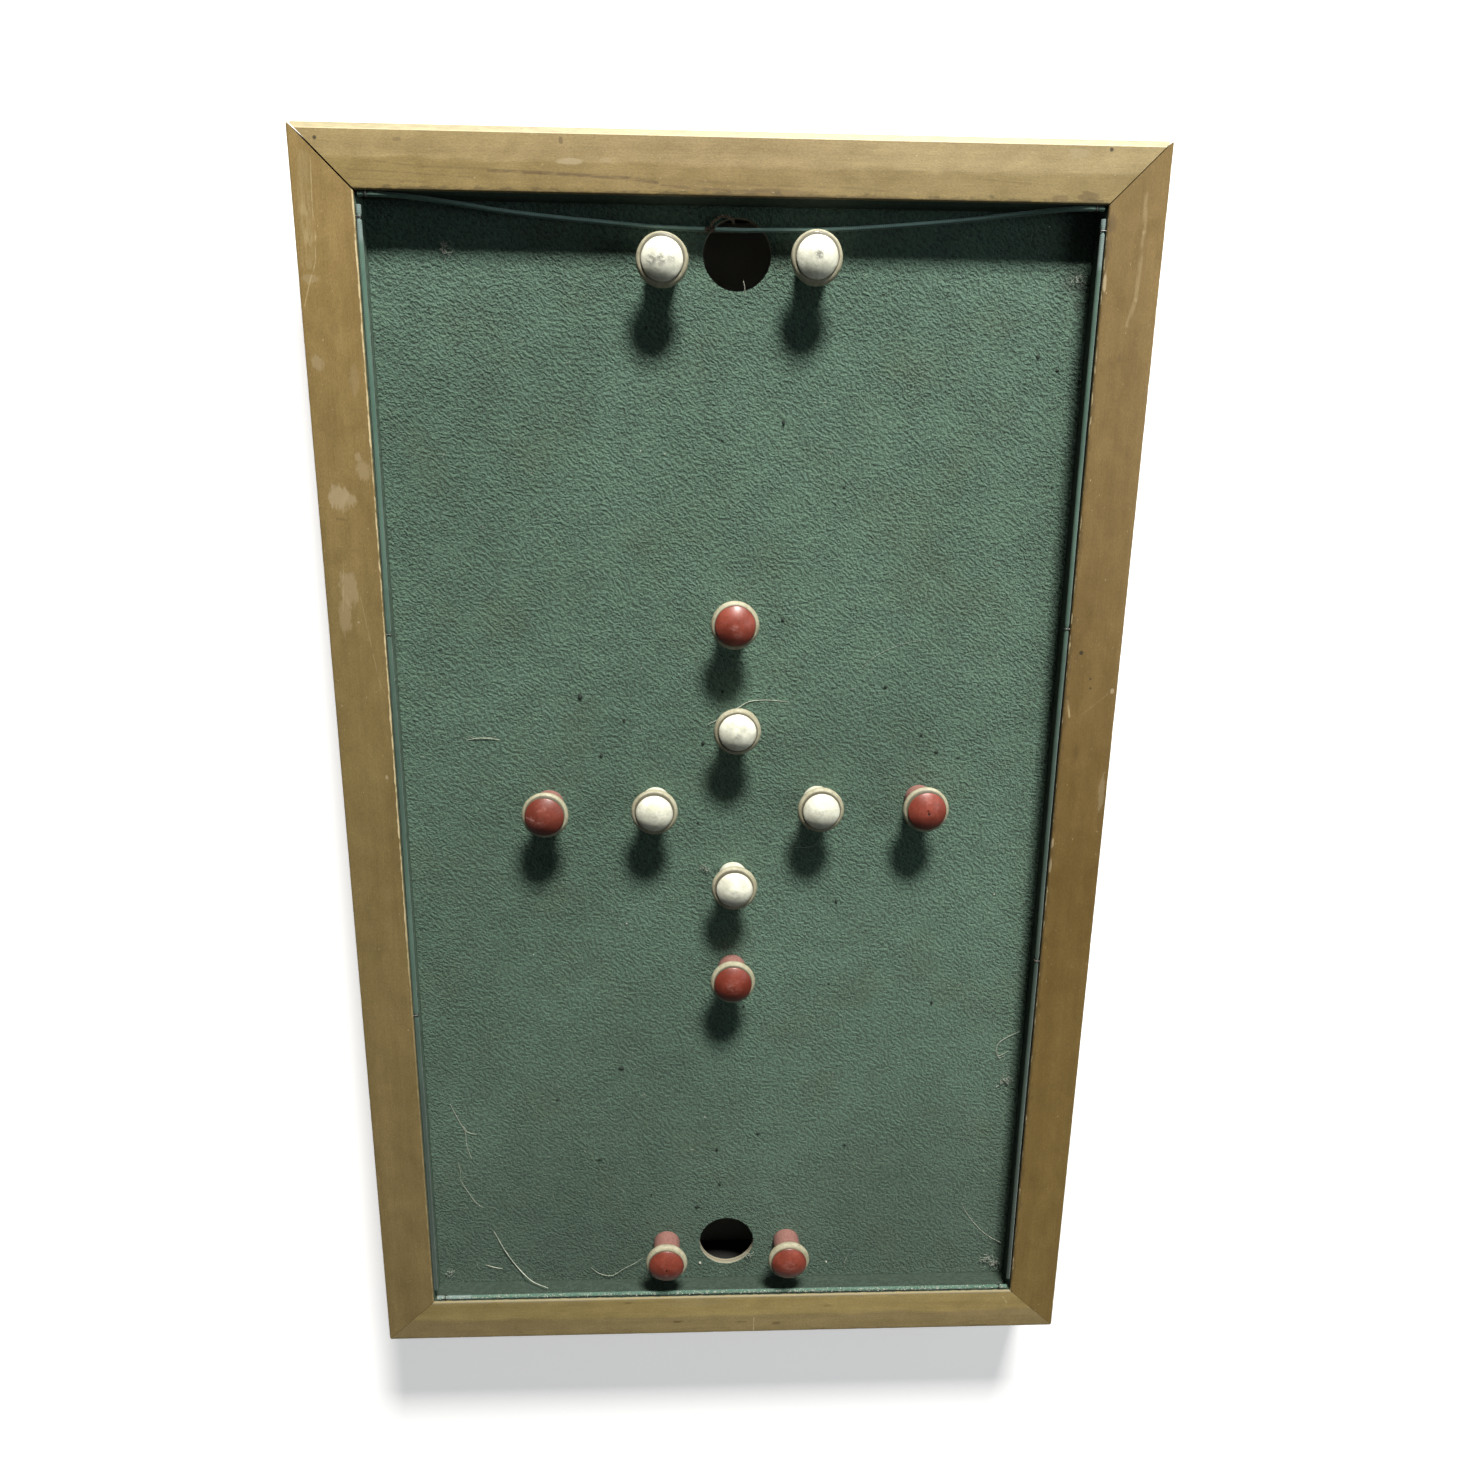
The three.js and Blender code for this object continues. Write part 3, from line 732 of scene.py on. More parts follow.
class RailWood:
    """The material of one rail: varnished wood with its grain along the rail. Its place is (along,
    across, up), and looks says what marks it has. Each layer takes a colour and returns it changed."""

    def __init__(self, name, seed, width, looks):
        g = self.g = Graph(name)
        self.seed = seed
        self.looks = looks
        self.place = g.place()
        self.along, self.across, self.up = g.parts(self.place)
        self.from_inside = g.math("SUBTRACT", width, self.across)
        self.below_top = g.math("SUBTRACT", RAIL_HEIGHT, self.up)
        self.grain = self.noise((40, 800, 450), 2, 3, 0.6)
        self.speckle = self.noise((620, 1300, 1300), 5, 3, 0.7)
        self.mottle = self.noise((42, 60, 60), 9, 4, 0.6, 0.6)
        self.patchy = self.noise((120, 400, 400), 6, 4, 0.65)

    def noise(self, scale, shift, detail, roughness=0.5, distortion=0.0):
        """A noise with its own scale along each axis. shift keeps it apart from the others."""
        moved = self.g.stretch(self.place, scale, (self.seed, shift, 0))
        return self.g.noise(moved, 1, detail, roughness, distortion)

    def varnished(self):
        """The wood's own colour, with its grain and with its tone changing along the rail."""
        g = self.g
        bands = self.noise((4, 70, 30), self.seed, 4, 0.55, 0.4)
        colour = g.mix(g.smooth(bands, 0.30, 0.70), WOOD_MIDDLE, WOOD_LIGHT)
        colour = g.vary(colour, self.grain, 0.95, 1.05)
        colour = g.vary(colour, self.mottle, 0.90, 1.10)
        colour = g.vary(colour, self.speckle, 0.80, 1.18)
        return g.tint(colour, toned(g, self.along, self.looks["shades"]))

    def zoned(self, colour):
        """One lengthwise zone of the face is darker than the other."""
        if "zone" not in self.looks:
            return colour
        g = self.g
        boundary, low, high = self.looks["zone"]
        wander = g.line(self.noise((16, 60, 0), 3, 4, 0.6), 0.25, 0.75, -3 * MM, 3 * MM)
        across = g.math("SUBTRACT", self.across, wander)
        inner = g.smooth(across, boundary - 1.5 * MM, boundary + 1.5 * MM)
        return g.tint(colour, g.mix(inner, low, high))

    def patched(self, colour):
        """Ragged patches, pale where their strength is above 0 and dark where it is below."""
        g = self.g
        ragged = g.line(self.patchy, *NOISE_SPAN, -0.35, 0.35)
        for along, across, half_long, half_wide, strength in self.looks.get("patches", ()):
            reach = (half_long * MM, half_wide * MM, 4 * MM)
            patch = g.patch(self.place, on_face(along, across), reach, ragged)
            target = WOOD_PALE if strength > 0 else WOOD_DARK
            colour = g.mix(g.times(patch, abs(strength)), colour, target)
        return colour

    def streaked(self, colour):
        """Broken streaks through lists of points, bare or dark like the patches."""
        g = self.g
        broken = g.smooth(self.noise((90, 500, 0), 8, 4), 0.32, 0.55)
        for points, reach, strength in self.looks.get("streaks", ()):
            spots = [on_face(*point) for point in points]
            for start, end in zip(spots, spots[1:]):
                stroke = g.stroke(self.place, start, end, reach * MM)
                stroke = g.times(stroke, broken, abs(strength))
                colour = g.mix(stroke, colour, WOOD_BARE if strength > 0 else WOOD_DARK)
        return colour

    def worn_down(self, colour):
        """The face darkens along the inner arris, by the looks' grime share: partly dirt and partly painted
        shade, most on the top and right rails, whose inner faces are turned from the light. The arrises are
        rubbed down to pale wood.
        """
        g, looks = self.g, self.looks
        dark_edge_reach = g.line(self.patchy, 0.35, 0.75, 0.0, 5 * MM)
        grime = g.smooth(g.math("SUBTRACT", self.from_inside, dark_edge_reach), 1 * MM, -1 * MM)
        # Partly painted shade: the darkening along the inner arris is strongest on the rails whose inner
        # faces are turned from the light.
        colour = g.mix(g.times(grime, looks["grime"]), colour, DIRT)
        corner_distance = g.math("MAXIMUM", self.from_inside, self.below_top)
        worn_reach = g.line(self.patchy, *NOISE_SPAN, *[reach * MM for reach in looks["worn"]])
        worn = g.smooth(g.math("SUBTRACT", corner_distance, worn_reach), 0.35 * MM, -0.25 * MM)
        fresh, tired = looks.get("worn_until", (2.0, 2.1))
        self.worn = g.times(worn, g.line(self.along, fresh, tired, 1.0, 0.25))
        colour = g.mix(g.times(self.worn, 0.85), colour, looks.get("bare", WOOD_BARE))
        outer_distance = g.math("MAXIMUM", self.across, self.below_top)
        rubbed_reach = g.line(self.patchy, 0.38, 0.75, -0.8 * MM, 1.5 * MM)
        rubbed = g.smooth(g.math("SUBTRACT", outer_distance, rubbed_reach), 0.3 * MM, -0.3 * MM)
        return g.mix(g.times(rubbed, 0.45), colour, WOOD_BARE)

    def bevelled(self, colour):
        """The bevel is paler than the face, and palest along its crest: bare wood, and along the crest
        partly a painted highlight.
        """
        if not self.looks["bevel"]:
            return colour
        g = self.g
        across_end, down_end = self.looks["bevel"]
        on_bevel = g.times(
            g.smooth(self.below_top, 0.05 * MM, 0.15 * MM),
            g.smooth(self.across, across_end, across_end - 0.1 * MM),
            g.smooth(self.below_top, down_end + 0.3 * MM, down_end),
        )
        pale = g.vary(BEVEL_WOOD, self.patchy, 0.80, 1.15)
        # Partly painted highlight: a pale line along the bevel's crest, where it turns to the light.
        crest = g.times(g.near(self.across, across_end, 0.8 * MM), 0.7)
        return g.mix(on_bevel, colour, g.mix(crest, pale, BEVEL_CREST))

    def knocked(self, colour):
        """Pin holes, knocks and fine scratches."""
        g = self.g
        for along, across, size in self.looks.get("holes", ()):
            hole = g.spot(self.place, on_face(along, across), size * 0.5 * MM, size * MM)
            colour = g.mix(g.times(hole, 0.85), colour, DIRT)
        nicks = self.noise((330, 700, 700), 4, 2)
        colour = g.mix(g.smooth(nicks, 0.72, 0.78, 0, 0.5), colour, WOOD_BARE)
        return g.mix(g.smooth(nicks, 0.27, 0.22, 0, 0.6), colour, WOOD_DARK)

    def finish(self, colour):
        """The inner face is painted green above the bed, with an uneven upper edge. Below the bed it is
        near black, a painted shade that keeps the pockets dark."""
        g = self.g
        inside = g.smooth(self.from_inside, 0.5 * MM, 0.3 * MM)
        edge = g.line(self.noise((170, 0, 0), 1, 3), 0.2, 0.8, *PAINT_EDGE)
        below_edge = g.smooth(g.math("SUBTRACT", self.up, edge), 0.1 * MM, -0.1 * MM)
        above_bed = g.smooth(self.up, GROOVE_HIGH - 0.1 * MM, GROOVE_HIGH + 0.1 * MM)
        painted = g.times(inside, below_edge, above_bed)
        fuzz = g.noise(self.place, 1500, 3, 0.6)
        napped = g.smooth(self.noise((300, 300, 480), 7, 3, 0.6, 0.5), 0.34, 0.60)
        paint = g.vary(self.looks.get("paint", WALL_PAINT), fuzz, 0.8, 1.2)
        paint = g.scale_colour(paint, g.line(napped, 0.0, 1.0, 0.80, 1.08))
        colour = g.mix(painted, colour, paint)
        # Painted shade: below the bed the inner face is near black, so the pockets look dark.
        raw = g.times(inside, g.smooth(self.up, GROOVE_LOW, GROOVE_LOW - 0.2 * MM))
        colour = g.mix(raw, colour, BELOW_BED_PAINTED_SHADE)
        height = g.add(g.times(self.grain, 0.6), g.times(self.speckle, 0.5))
        height = g.add(height, g.times(painted, fuzz, 3), g.times(painted, napped, 6))
        matt = g.times(g.add(painted, raw, self.worn), 0.35)
        rough = g.add(g.line(self.mottle, *NOISE_SPAN, 0.42, 0.54), matt)
        normal = g.bump(height, 0.07 * MM)
        return g.finish(colour, rough, normal, Coat_Weight=0.08, Coat_Roughness=0.4)


def rail_material(name, seed, width, looks):
    """The rail's layers, put on in the order in which they cover each other."""
    wood = RailWood(name, seed, width, looks)
    colour = wood.varnished()
    layers = (wood.zoned, wood.patched, wood.streaked, wood.worn_down, wood.bevelled, wood.knocked)
    for layer in layers:
        colour = layer(colour)
    return wood.finish(colour)


VISIBLE_SPACING = 2.4 * MM
HIDDEN_SPACING = 7 * MM


def rail_outline(width, bevel):
    """(across, up) round the section, from the outer foot. across is from the outer face inwards."""
    top = RAIL_HEIGHT
    outline = [
        *arc((FOOT_RADIUS, FOOT_RADIUS), FOOT_RADIUS, 180, 270, 3),
        *arc((width - FOOT_RADIUS, FOOT_RADIUS), FOOT_RADIUS, 270, 360, 3),
        (width, GROOVE_LOW),
        (width - GROOVE_DEPTH, GROOVE_LOW),
        (width - GROOVE_DEPTH, GROOVE_HIGH),
        (width, GROOVE_HIGH),
        *arc((width - ARRIS_RADIUS, top - ARRIS_RADIUS), ARRIS_RADIUS, 0, 90, 6),
    ]
    if bevel:
        across, down = bevel
        outline += [(across, top), (across / 2, top - down / 2), (0, top - down)]
    else:
        outline += arc((ARRIS_RADIUS, top - ARRIS_RADIUS), ARRIS_RADIUS, 90, 180, 6)

    def spacing(start, end):
        visible = max(start[1], end[1]) > GROOVE_HIGH
        return VISIBLE_SPACING if visible else HIDDEN_SPACING

    return subdivided(outline, spacing)


def mitre_run(side, corner):
    """How far a rail's mitre runs along it for each metre across it, next to its neighbour."""
    neighbour = next(name for name in corner.split("_") if name != side)
    return RAIL_WIDTHS[neighbour] / RAIL_WIDTHS[side]


def rounded_in_plan(along, across, length):
    """Moves a point near an outer corner onto the corner's round."""
    from_end = min(along, length - along)
    if from_end >= CORNER_RADIUS or across >= CORNER_RADIUS:
        return along, across
    out = Vector((CORNER_RADIUS - from_end, CORNER_RADIUS - across))
    if out.length <= CORNER_RADIUS:
        return along, across
    out *= CORNER_RADIUS / out.length
    from_end = CORNER_RADIUS - out.x
    along = from_end if along < length / 2 else length - from_end
    return along, CORNER_RADIUS - out.y


# Where a rail's sections are near its ends, in millimetres, and how far apart they are elsewhere.
STATIONS_NEAR_END = [0, 0.7, 1.4, 2.1, 2.8, 3.6, 5]
RAIL_STATION_SPACING = 5.5 * MM
DEEPEST_DENT = 0.16 * MM
FACE_WAVE = 0.05 * MM


def make_rail(side, start, end, length, origin, turns, seed, bevel=None, **looks):
    """A rail from its start corner to its end corner. origin is the board's corner that it starts
    at, and turns is its direction in quarter turns from +X. The other values are its looks."""
    width = RAIL_WIDTHS[side]
    outline = rail_outline(width, bevel)
    run_start, run_end = mitre_run(side, start), mitre_run(side, end)
    steps = round(length / RAIL_STATION_SPACING)
    shares = [distance * MM / length for distance in STATIONS_NEAR_END]
    middle = np.linspace(shares[-1], 1 - shares[-1], steps)[1:-1]
    stations = [*shares, *middle, *[1 - share for share in reversed(shares)]]
    cosine, sine = math.cos(turns * math.pi / 2), math.sin(turns * math.pi / 2)
    turned = np.array([[cosine, -sine], [sine, cosine]])
    points, place = [], []
    for share in stations:
        for across, up in outline:
            first = across * run_start + MITRE_GAPS[start] / math.sqrt(2)
            last = length - across * run_end - MITRE_GAPS[end] / math.sqrt(2)
            along = first + (last - first) * share
            place.append((along, across, up))
            along, moved = rounded_in_plan(along, across, length)
            wear = noise.noise(Vector((along * 140, seed, across * 300)))
            slow = noise.noise(Vector((along * 22, seed + 7, across * 60)))
            on_arris = up > RAIL_HEIGHT - ARRIS_RADIUS and min(across, width - across) < ARRIS_RADIUS
            if on_arris:
                dent = DEEPEST_DENT * max(0, wear)
                moved += dent if across < width / 2 else -dent
                up -= dent
            elif up > RAIL_HEIGHT - 0.01 * MM:
                up -= FACE_WAVE * (slow + 0.3)
            x, y = turned @ (along, moved)
            points.append((origin[0] + x, origin[1] + y, up))
    count = len(outline)
    faces = []
    for i in range(len(stations) - 1):
        for k in range(count):
            here, beside = i * count + k, i * count + (k + 1) % count
            faces.append((here, here + count, beside + count, beside))
    faces.append(range(count))
    faces.append(range(len(points) - 1, len(points) - count - 1, -1))
    obj = make_object(f"wood_rail_{side}", points, faces, place, 30)
    material = rail_material(f"rail_wood_{side}", seed, width, {**looks, "bevel": bevel})
    return finish_piece(obj, material, [f"rail_{side}"])


make_rail(
    "bottom", "bottom_left", "bottom_right", 2 * BOARD_X, (-BOARD_X, -BOARD_Y), 0, 3.1,
    shades=[(0.05, (0.963, 1.008, 0.975)), (0.25, (1.174, 1.24, 1.174)), (0.5, (1.174, 1.218, 1.174))],
    zone=(17 * MM, (0.86, 0.86, 0.92), (1.06, 1.06, 0.98)), worn=(0.6, 2.7), grime=0.05, bare=WOOD_RUBBED,
    streaks=[([(300, 1.5), (300.2, 15)], 0.5, 0.6), ([(508, 30.6), (512, 23.5)], 0.5, 0.7)],
    patches=[
        (236.3, 11.5, 4, 1.1, -0.6), (288.7, 10.2, 5, 1.0, -0.4), (318.7, 8.4, 4, 1.8, -0.5),
        (196.7, 31.4, 3.5, 0.9, -0.5), (361.2, 25, 4, 1.6, -0.3), (250, 30, 30, 3, 0.25),
    ],
)
make_rail(
    "right", "bottom_right", "top_right", 2 * BOARD_Y, (BOARD_X, -BOARD_Y), 1, 17.3,
    shades=[
        (0.05, (0.78, 0.725, 0.538)), (0.4, (0.571, 0.495, 0.323)), (0.62, (0.632, 0.555, 0.383)),
        (0.85, (0.664, 0.583, 0.395)),
    ],
    worn=(-0.8, 0.9), grime=0.3,
    streaks=[
        ([(869, 14.9), (846, 13.8), (806, 15), (790, 19)], 2.0, 0.15),
        ([(528.6, 24.6), (543.5, 7)], 0.5, 0.12), ([(539, 35.6), (527, 33.1)], 1.0, 0.45),
    ],
    patches=[
        (546, 3.8, 2.2, 1.6, 0.9), (816, 36.6, 6, 1.2, 1.0), (431, 37, 4, 0.9, 1.0), (414, 37, 6, 1, 1.0),
        (570, 31.4, 3, 1.1, -0.4), (470, 4, 14, 2.5, 0.4), (500, 26, 5, 2, -0.3), (770, 22, 3, 1.5, -0.4),
        (851, 35, 6, 2.5, -0.5), (838, 35.5, 4, 2, -0.4),
    ],
    holes=[(573.4, 28.9, 2.0), (554.8, 20.5, 1.0), (547.9, 19.8, 1.0)],
)
make_rail(
    "top", "top_right", "top_left", 2 * BOARD_X, (BOARD_X, BOARD_Y), 2, 29.7, bevel=TOP_RAIL_BEVEL,
    shades=[(0.10, (1.067, 1.12, 1.147)), (0.27, (0.916, 0.907, 0.853)), (0.45, (1.004, 1.022, 0.978))],
    zone=(20.5 * MM, (1.08, 1.09, 1.12), (0.86, 0.84, 0.72)), worn=(-1.0, 0.4), grime=0.45,
    streaks=[
        ([(430, 26), (398.2, 26.6), (344.4, 28.6), (325.7, 30.7)], 1.5, -0.75),
        ([(322.8, 32.5), (276.5, 34.7), (249.3, 33.6)], 1.3, -0.6),
        ([(300, 29.5), (262, 31), (210, 31.4), (180, 33)], 0.8, -0.35),
        ([(500, 22), (470, 24.5), (430, 25)], 0.7, -0.3), ([(515, 27), (480, 28), (440, 30)], 0.6, -0.35),
        ([(120, 25), (90, 27)], 0.6, -0.3), ([(516, 32), (470, 33)], 0.6, -0.3),
    ],
    patches=[
        (379.5, 19.7, 9, 1.8, 0.8), (358, 18.5, 4, 1, 0.5), (60, 9, 7, 3, 0.5), (485, 9.5, 3.5, 1.5, -0.4),
        (250, 35, 24, 2.2, -0.4), (52, 33.5, 7, 3, -0.6), (70, 35, 6, 2, -0.5), (385, 8, 1.2, 2, -0.6),
    ],
    holes=[(39.8, 6.4, 1.6), (534.9, 9.6, 1.5)],
)
make_rail(
    "left", "top_left", "bottom_left", 2 * BOARD_Y, (-BOARD_X, BOARD_Y), 3, 41.9,
    shades=[
        (0.1, (0.873, 0.809, 0.618)), (0.30, (0.769, 0.75, 0.635)), (0.52, (0.69, 0.69, 0.589)),
        (0.8, (0.783, 0.783, 0.717)),
    ],
    worn=(0.0, 1.2), worn_until=(0.50, 0.60), grime=0.08, paint=WALL_PAINT_WITH_PAINTED_LIGHT,
    streaks=[
        ([(19, 13.7), (49.5, 12.4), (65.6, 12.9), (80.7, 11.6), (90.8, 7.4), (106.2, 2.6)], 0.6, 0.28),
        ([(20, 9), (50, 7.5), (66, 8), (81, 6.5)], 5.5, 0.12),
        ([(289.4, 23.1), (340.3, 30.6), (353.7, 32.8)], 0.6, 0.16), ([(267, 13.7), (300, 11)], 0.7, 0.12),
        ([(238, 12), (239, 18)], 1.2, -0.5),
    ],
    patches=[
        (224.3, 14.5, 8.5, 6.5, 0.8), (226, 21.5, 4.5, 5, 0.6), (207.3, 31.8, 7, 5, 0.45),
        (198.2, 28.6, 3, 2, 0.5), (284, 16.1, 13, 5.5, 0.55), (303, 12, 14, 4.2, 0.45),
        (140.1, 7.8, 5, 4.5, 0.45), (417.6, 31.9, 2.2, 1.1, 0.9), (307.3, 20.8, 1.2, 1, 0.9),
        (90, 8, 3, 5, 0.4), (150, 30, 10, 3, 0.2), (120, 20, 4, 3, -0.2),
    ],
)

# ---------- Bed panel and cloth ----------

PEG_SPOTS = {name: sum(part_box(f"peg_{name}"), Vector()) / 2 for name in PEG_NAMES}


def sheet_mesh(low, high, spacing):
    """Points and triangles of a rectangle with the pockets and the screw holes left out, and the
    pairs of points along its outer edge and round its holes."""
    holes = [(*pocket, POCKET_RADIUS) for pocket in POCKETS]
    holes += [(spot.x, spot.y, SCREW_HOLE_RADIUS) for spot in PEG_SPOTS.values()]
    across = np.linspace(low.x, high.x, round((high.x - low.x) / spacing) + 1)
    along = np.linspace(low.y, high.y, round((high.y - low.y) / spacing) + 1)
    points = []
    for x in across:
        for y in along:
            clear = 0.5 * min(spacing, 3 * MM)
            if all(math.hypot(x - a, y - b) > radius + clear for a, b, radius in holes):
                points.append(Vector((x, y)))
    edges = []
    for a, b, radius in holes:
        start = len(points)
        count = max(24, round(2 * math.pi * radius / (1.5 * MM)))
        for i in range(count):
            angle = 2 * math.pi * i / count
            points.append(Vector((a + radius * math.cos(angle), b + radius * math.sin(angle))))
            edges.append((start + i, start + (i + 1) % count))
    points, _, triangles, *_ = delaunay_2d_cdt(points, edges, [], 0, 1e-7)
    kept = []
    for triangle in triangles:
        middle = sum((points[i] for i in triangle), Vector((0, 0))) / 3
        if all(math.hypot(middle.x - a, middle.y - b) > radius * 0.995 for a, b, radius in holes):
            kept.append(tuple(triangle))
    used = {}
    for a, b, c in kept:
        for pair in ((a, b), (b, c), (c, a)):
            used[pair] = True
    rim = [pair for pair in used if (pair[1], pair[0]) not in used]
    return points, kept, rim


def plywood_material():
    g = Graph("bed_plywood")
    place = g.world()
    z = g.parts(place)[2]
    grain = g.noise(g.stretch(place, (420, 11, 300)), 1, 4, 0.6, 0.4)
    broad = g.noise(g.stretch(place, (34, 2.2, 30)), 1, 3, 0.5, 0.6)
    colour = g.two_tone(broad, (0.60, 0.45, 0.25), (0.70, 0.56, 0.34))
    colour = g.vary(colour, grain, 0.84, 1.10)
    middle = (BED_BOX[0].z + BED_BOX[1].z) / 2
    core = g.near(z, middle, 0.8 * MM)
    upright = g.parts(g.node("NewGeometry", {}, "Normal"))[2]
    on_edge = g.smooth(g.math("ABSOLUTE", upright), 0.6, 0.3)
    edge_colour = g.mix(core, (0.27, 0.25, 0.18), (0.17, 0.145, 0.10))
    colour = g.mix(on_edge, colour, edge_colour)
    stains = g.noise(place, 9, 4, 0.6)
    colour = g.mix(g.smooth(stains, 0.60, 0.72, 0, 0.25), colour, (0.22, 0.15, 0.08))
    return g.finish(colour, 0.78, g.bump(grain, 0.08 * MM))


def make_bed():
    low, high = BED_BOX
    flat, triangles, rim = sheet_mesh(low, high, 18 * MM)
    count = len(flat)
    points = [(p.x, p.y, high.z) for p in flat] + [(p.x, p.y, low.z) for p in flat]
    faces = list(triangles) + [(c + count, b + count, a + count) for a, b, c in triangles]
    faces += [(b, a, a + count, b + count) for a, b in rim]
    obj = make_object("bed_plywood_sheet", points, faces, points, 30)
    finish_piece(obj, plywood_material(), ["bed_panel"])


CLOTH_COLOUR = (0.066, 0.115, 0.080)
CLOTH_LIGHT = (0.082, 0.140, 0.099)
CLOTH_WORN = (0.070, 0.106, 0.068)
CLOTH_SHADE = (0.016, 0.030, 0.020)
# Painted light: tints of the cloth along the board, from the bottom rail to the top one. Places are in
# metres.
CLOTH_PAINTED_LIGHT_TONES = [
    (-0.40, (0.86, 0.86, 0.85)), (-0.28, (1.10, 1.11, 1.10)), (-0.10, (1.15, 1.18, 1.17)),
    (0.20, (1.05, 1.10, 1.08)), (0.36, (1.03, 1.09, 1.09)),
]
# The direction of the ridges in the nap, in degrees.
NAP_TURN = 42

# Each smudge's place, the radii of its dark middle and of its edge in millimetres, and its strength.
SMUDGES = [(228, 369, 3, 13, 0.7), (231, 355, 1, 6, 0.5), (75, -20, 20, 130, 0.16)]


def cloth_material():
    """Worn baize: short slanting ridges in the nap, fine fuzz, faded areas, specks and lint, and painted
    light across it.
    """
    g = Graph("worn_baize")
    place = g.world()
    drift = g.node("TexNoise", {"Vector": place, "Scale": 14.0, "Detail": 1.0}, "Color")
    drifted = g.node("VectorMath", {0: drift, 1: (0.005, 0.005, 0)}, operation="MULTIPLY")
    drifted = g.node("VectorMath", {0: drifted, 1: place}, operation="ADD")
    ridges = g.noise(g.stretch(drifted, (330, 440, 1), (0, 0, 0), NAP_TURN), 1, 2, 0.55)
    pebbles = g.noise(drifted, 700, 2, 0.55)
    fuzz = g.noise(place, 2600, 3, 0.7)
    broad = g.noise(place, 5.5, 4, 0.55)
    patches = g.noise(g.stretch(place, (1, 1, 1), (3, 8, 0)), 17, 4, 0.6)
    colour = g.two_tone(broad, CLOTH_COLOUR, CLOTH_LIGHT)
    colour = g.mix(g.smooth(patches, 0.50, 0.72, 0, 0.5), colour, CLOTH_WORN)
    colour = g.scale_colour(colour, g.smooth(ridges, 0.34, 0.54, 0.72, 1.08))
    colour = g.scale_colour(colour, g.smooth(pebbles, 0.34, 0.62, 0.86, 1.12))
    colour = g.vary(colour, fuzz, 0.86, 1.14)

    # Painted light: it is lighter towards the right, and lighter by the cross than by the bottom rail.
    x, y, z = g.parts(place)
    colour = g.scale_colour(colour, g.line(x, -INNER_X, INNER_X, 0.96, 1.03))
    colour = g.tint(colour, toned(g, y, CLOTH_PAINTED_LIGHT_TONES))
    specks = g.noise(g.stretch(place, (190, 260, 1), (5, 1, 0), 40), 1, 3, 0.5)
    colour = g.mix(g.smooth(specks, 0.685, 0.73, 0, 0.85), colour, CLOTH_SHADE)
    lint = g.noise(g.stretch(place, (520, 330, 1), (1, 6, 0), -25), 1, 1, 0.4)
    colour = g.mix(g.smooth(lint, 0.74, 0.80, 0, 0.55), colour, (0.21, 0.26, 0.20))

    # Smudges: by the upper right corner, and grime worn in round the cross.
    for at_x, at_y, inner, outer, strength in SMUDGES:
        smudge = g.spot(place, (at_x * MM, at_y * MM, CLOTH_TOP), inner * MM, outer * MM)
        smudge = g.times(smudge, g.smooth(patches, 0.36, 0.58), strength)
        colour = g.mix(smudge, colour, (0.030, 0.038, 0.028))
    cut_edge = g.smooth(z, CLOTH_TOP - 0.25 * MM, CLOTH_TOP - 0.5 * MM)
    colour = g.mix(cut_edge, colour, (0.30, 0.32, 0.25))
    rough_areas = g.smooth(g.noise(g.stretch(place, (1, 1, 1), (9, 2, 0)), 45, 3), 0.35, 0.65, 0.6, 1.15)
    rougher_above = g.line(y, -0.41, 0.1, 0.65, 1.0)
    height = g.add(g.smooth(ridges, 0.40, 0.60), g.times(g.smooth(pebbles, 0.40, 0.62), 0.55))
    normal = g.bump(g.times(height, rough_areas, rougher_above), 0.85 * MM)
    normal = g.bump(fuzz, 0.2 * MM, 1.0, normal)
    return g.finish(colour, 0.95, normal, Sheen_Weight=0.1, Sheen_Roughness=0.6)


def cloth_height(x, y):
    """The cloth's own slight unevenness."""
    slow = noise.noise(Vector((x * 20, y * 20, 1)))
    quick = noise.noise(Vector((x * 90, y * 90, 5)))
    return CLOTH_TOP + 0.10 * MM * slow + 0.05 * MM * quick


def make_cloth():
    low, high = CLOTH_BOX
    flat, triangles, rim = sheet_mesh(low, high, 2.2 * MM)
    points = [(p.x, p.y, cloth_height(p.x, p.y)) for p in flat]
    faces = list(triangles)
    below = {}
    for pair in rim:
        for i in pair:
            if i not in below:
                below[i] = len(points)
                points.append((points[i][0], points[i][1], low.z))
    faces += [(b, a, below[a], below[b]) for a, b in rim]
    obj = make_object("baize_cloth", points, faces, points, 45)
    finish_piece(obj, cloth_material(), ["playing_cloth"])


make_bed()
make_cloth()

# ---------- Bumper pegs ----------

STEM_RADIUS = 10.75 * MM
NECK_RADIUS = 9.5 * MM
NECK_BOTTOM = 19.9 * MM
HEAD_BOTTOM = 26.8 * MM
HEAD_EDGE = 27.4 * MM
HEAD_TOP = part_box("peg_red_cross_top")[1].z - CLOTH_TOP
BORE_HEIGHT = 18 * MM
PIT_RADIUS = 0.6 * MM
PITTED_PEGS = ("red_bottom_left", "red_cross_right")

# How far each peg's head leans off its foot, in millimetres.
LEANS = {
    "white_top_left": (-0.2, -1.3), "white_top_right": (0.0, -1.2), "red_cross_top": (0.1, 0.1),
    "white_cross_top": (0.1, 0.0), "red_cross_left": (-0.2, -1.3), "white_cross_left": (0.0, -1.0),
    "white_cross_right": (0.1, -0.6), "red_cross_right": (0.6, -1.4), "white_cross_bottom": (0.4, -0.9),
    "red_cross_bottom": (0.0, -0.6), "red_bottom_left": (0.4, 0.3), "red_bottom_right": (0.3, 0.5),
}


def leaned(name, point):
    x, y = LEANS[name]
    share = max(0, point.z) / HEAD_EDGE
    return Vector((point.x + x * MM * share, point.y + y * MM * share, point.z))


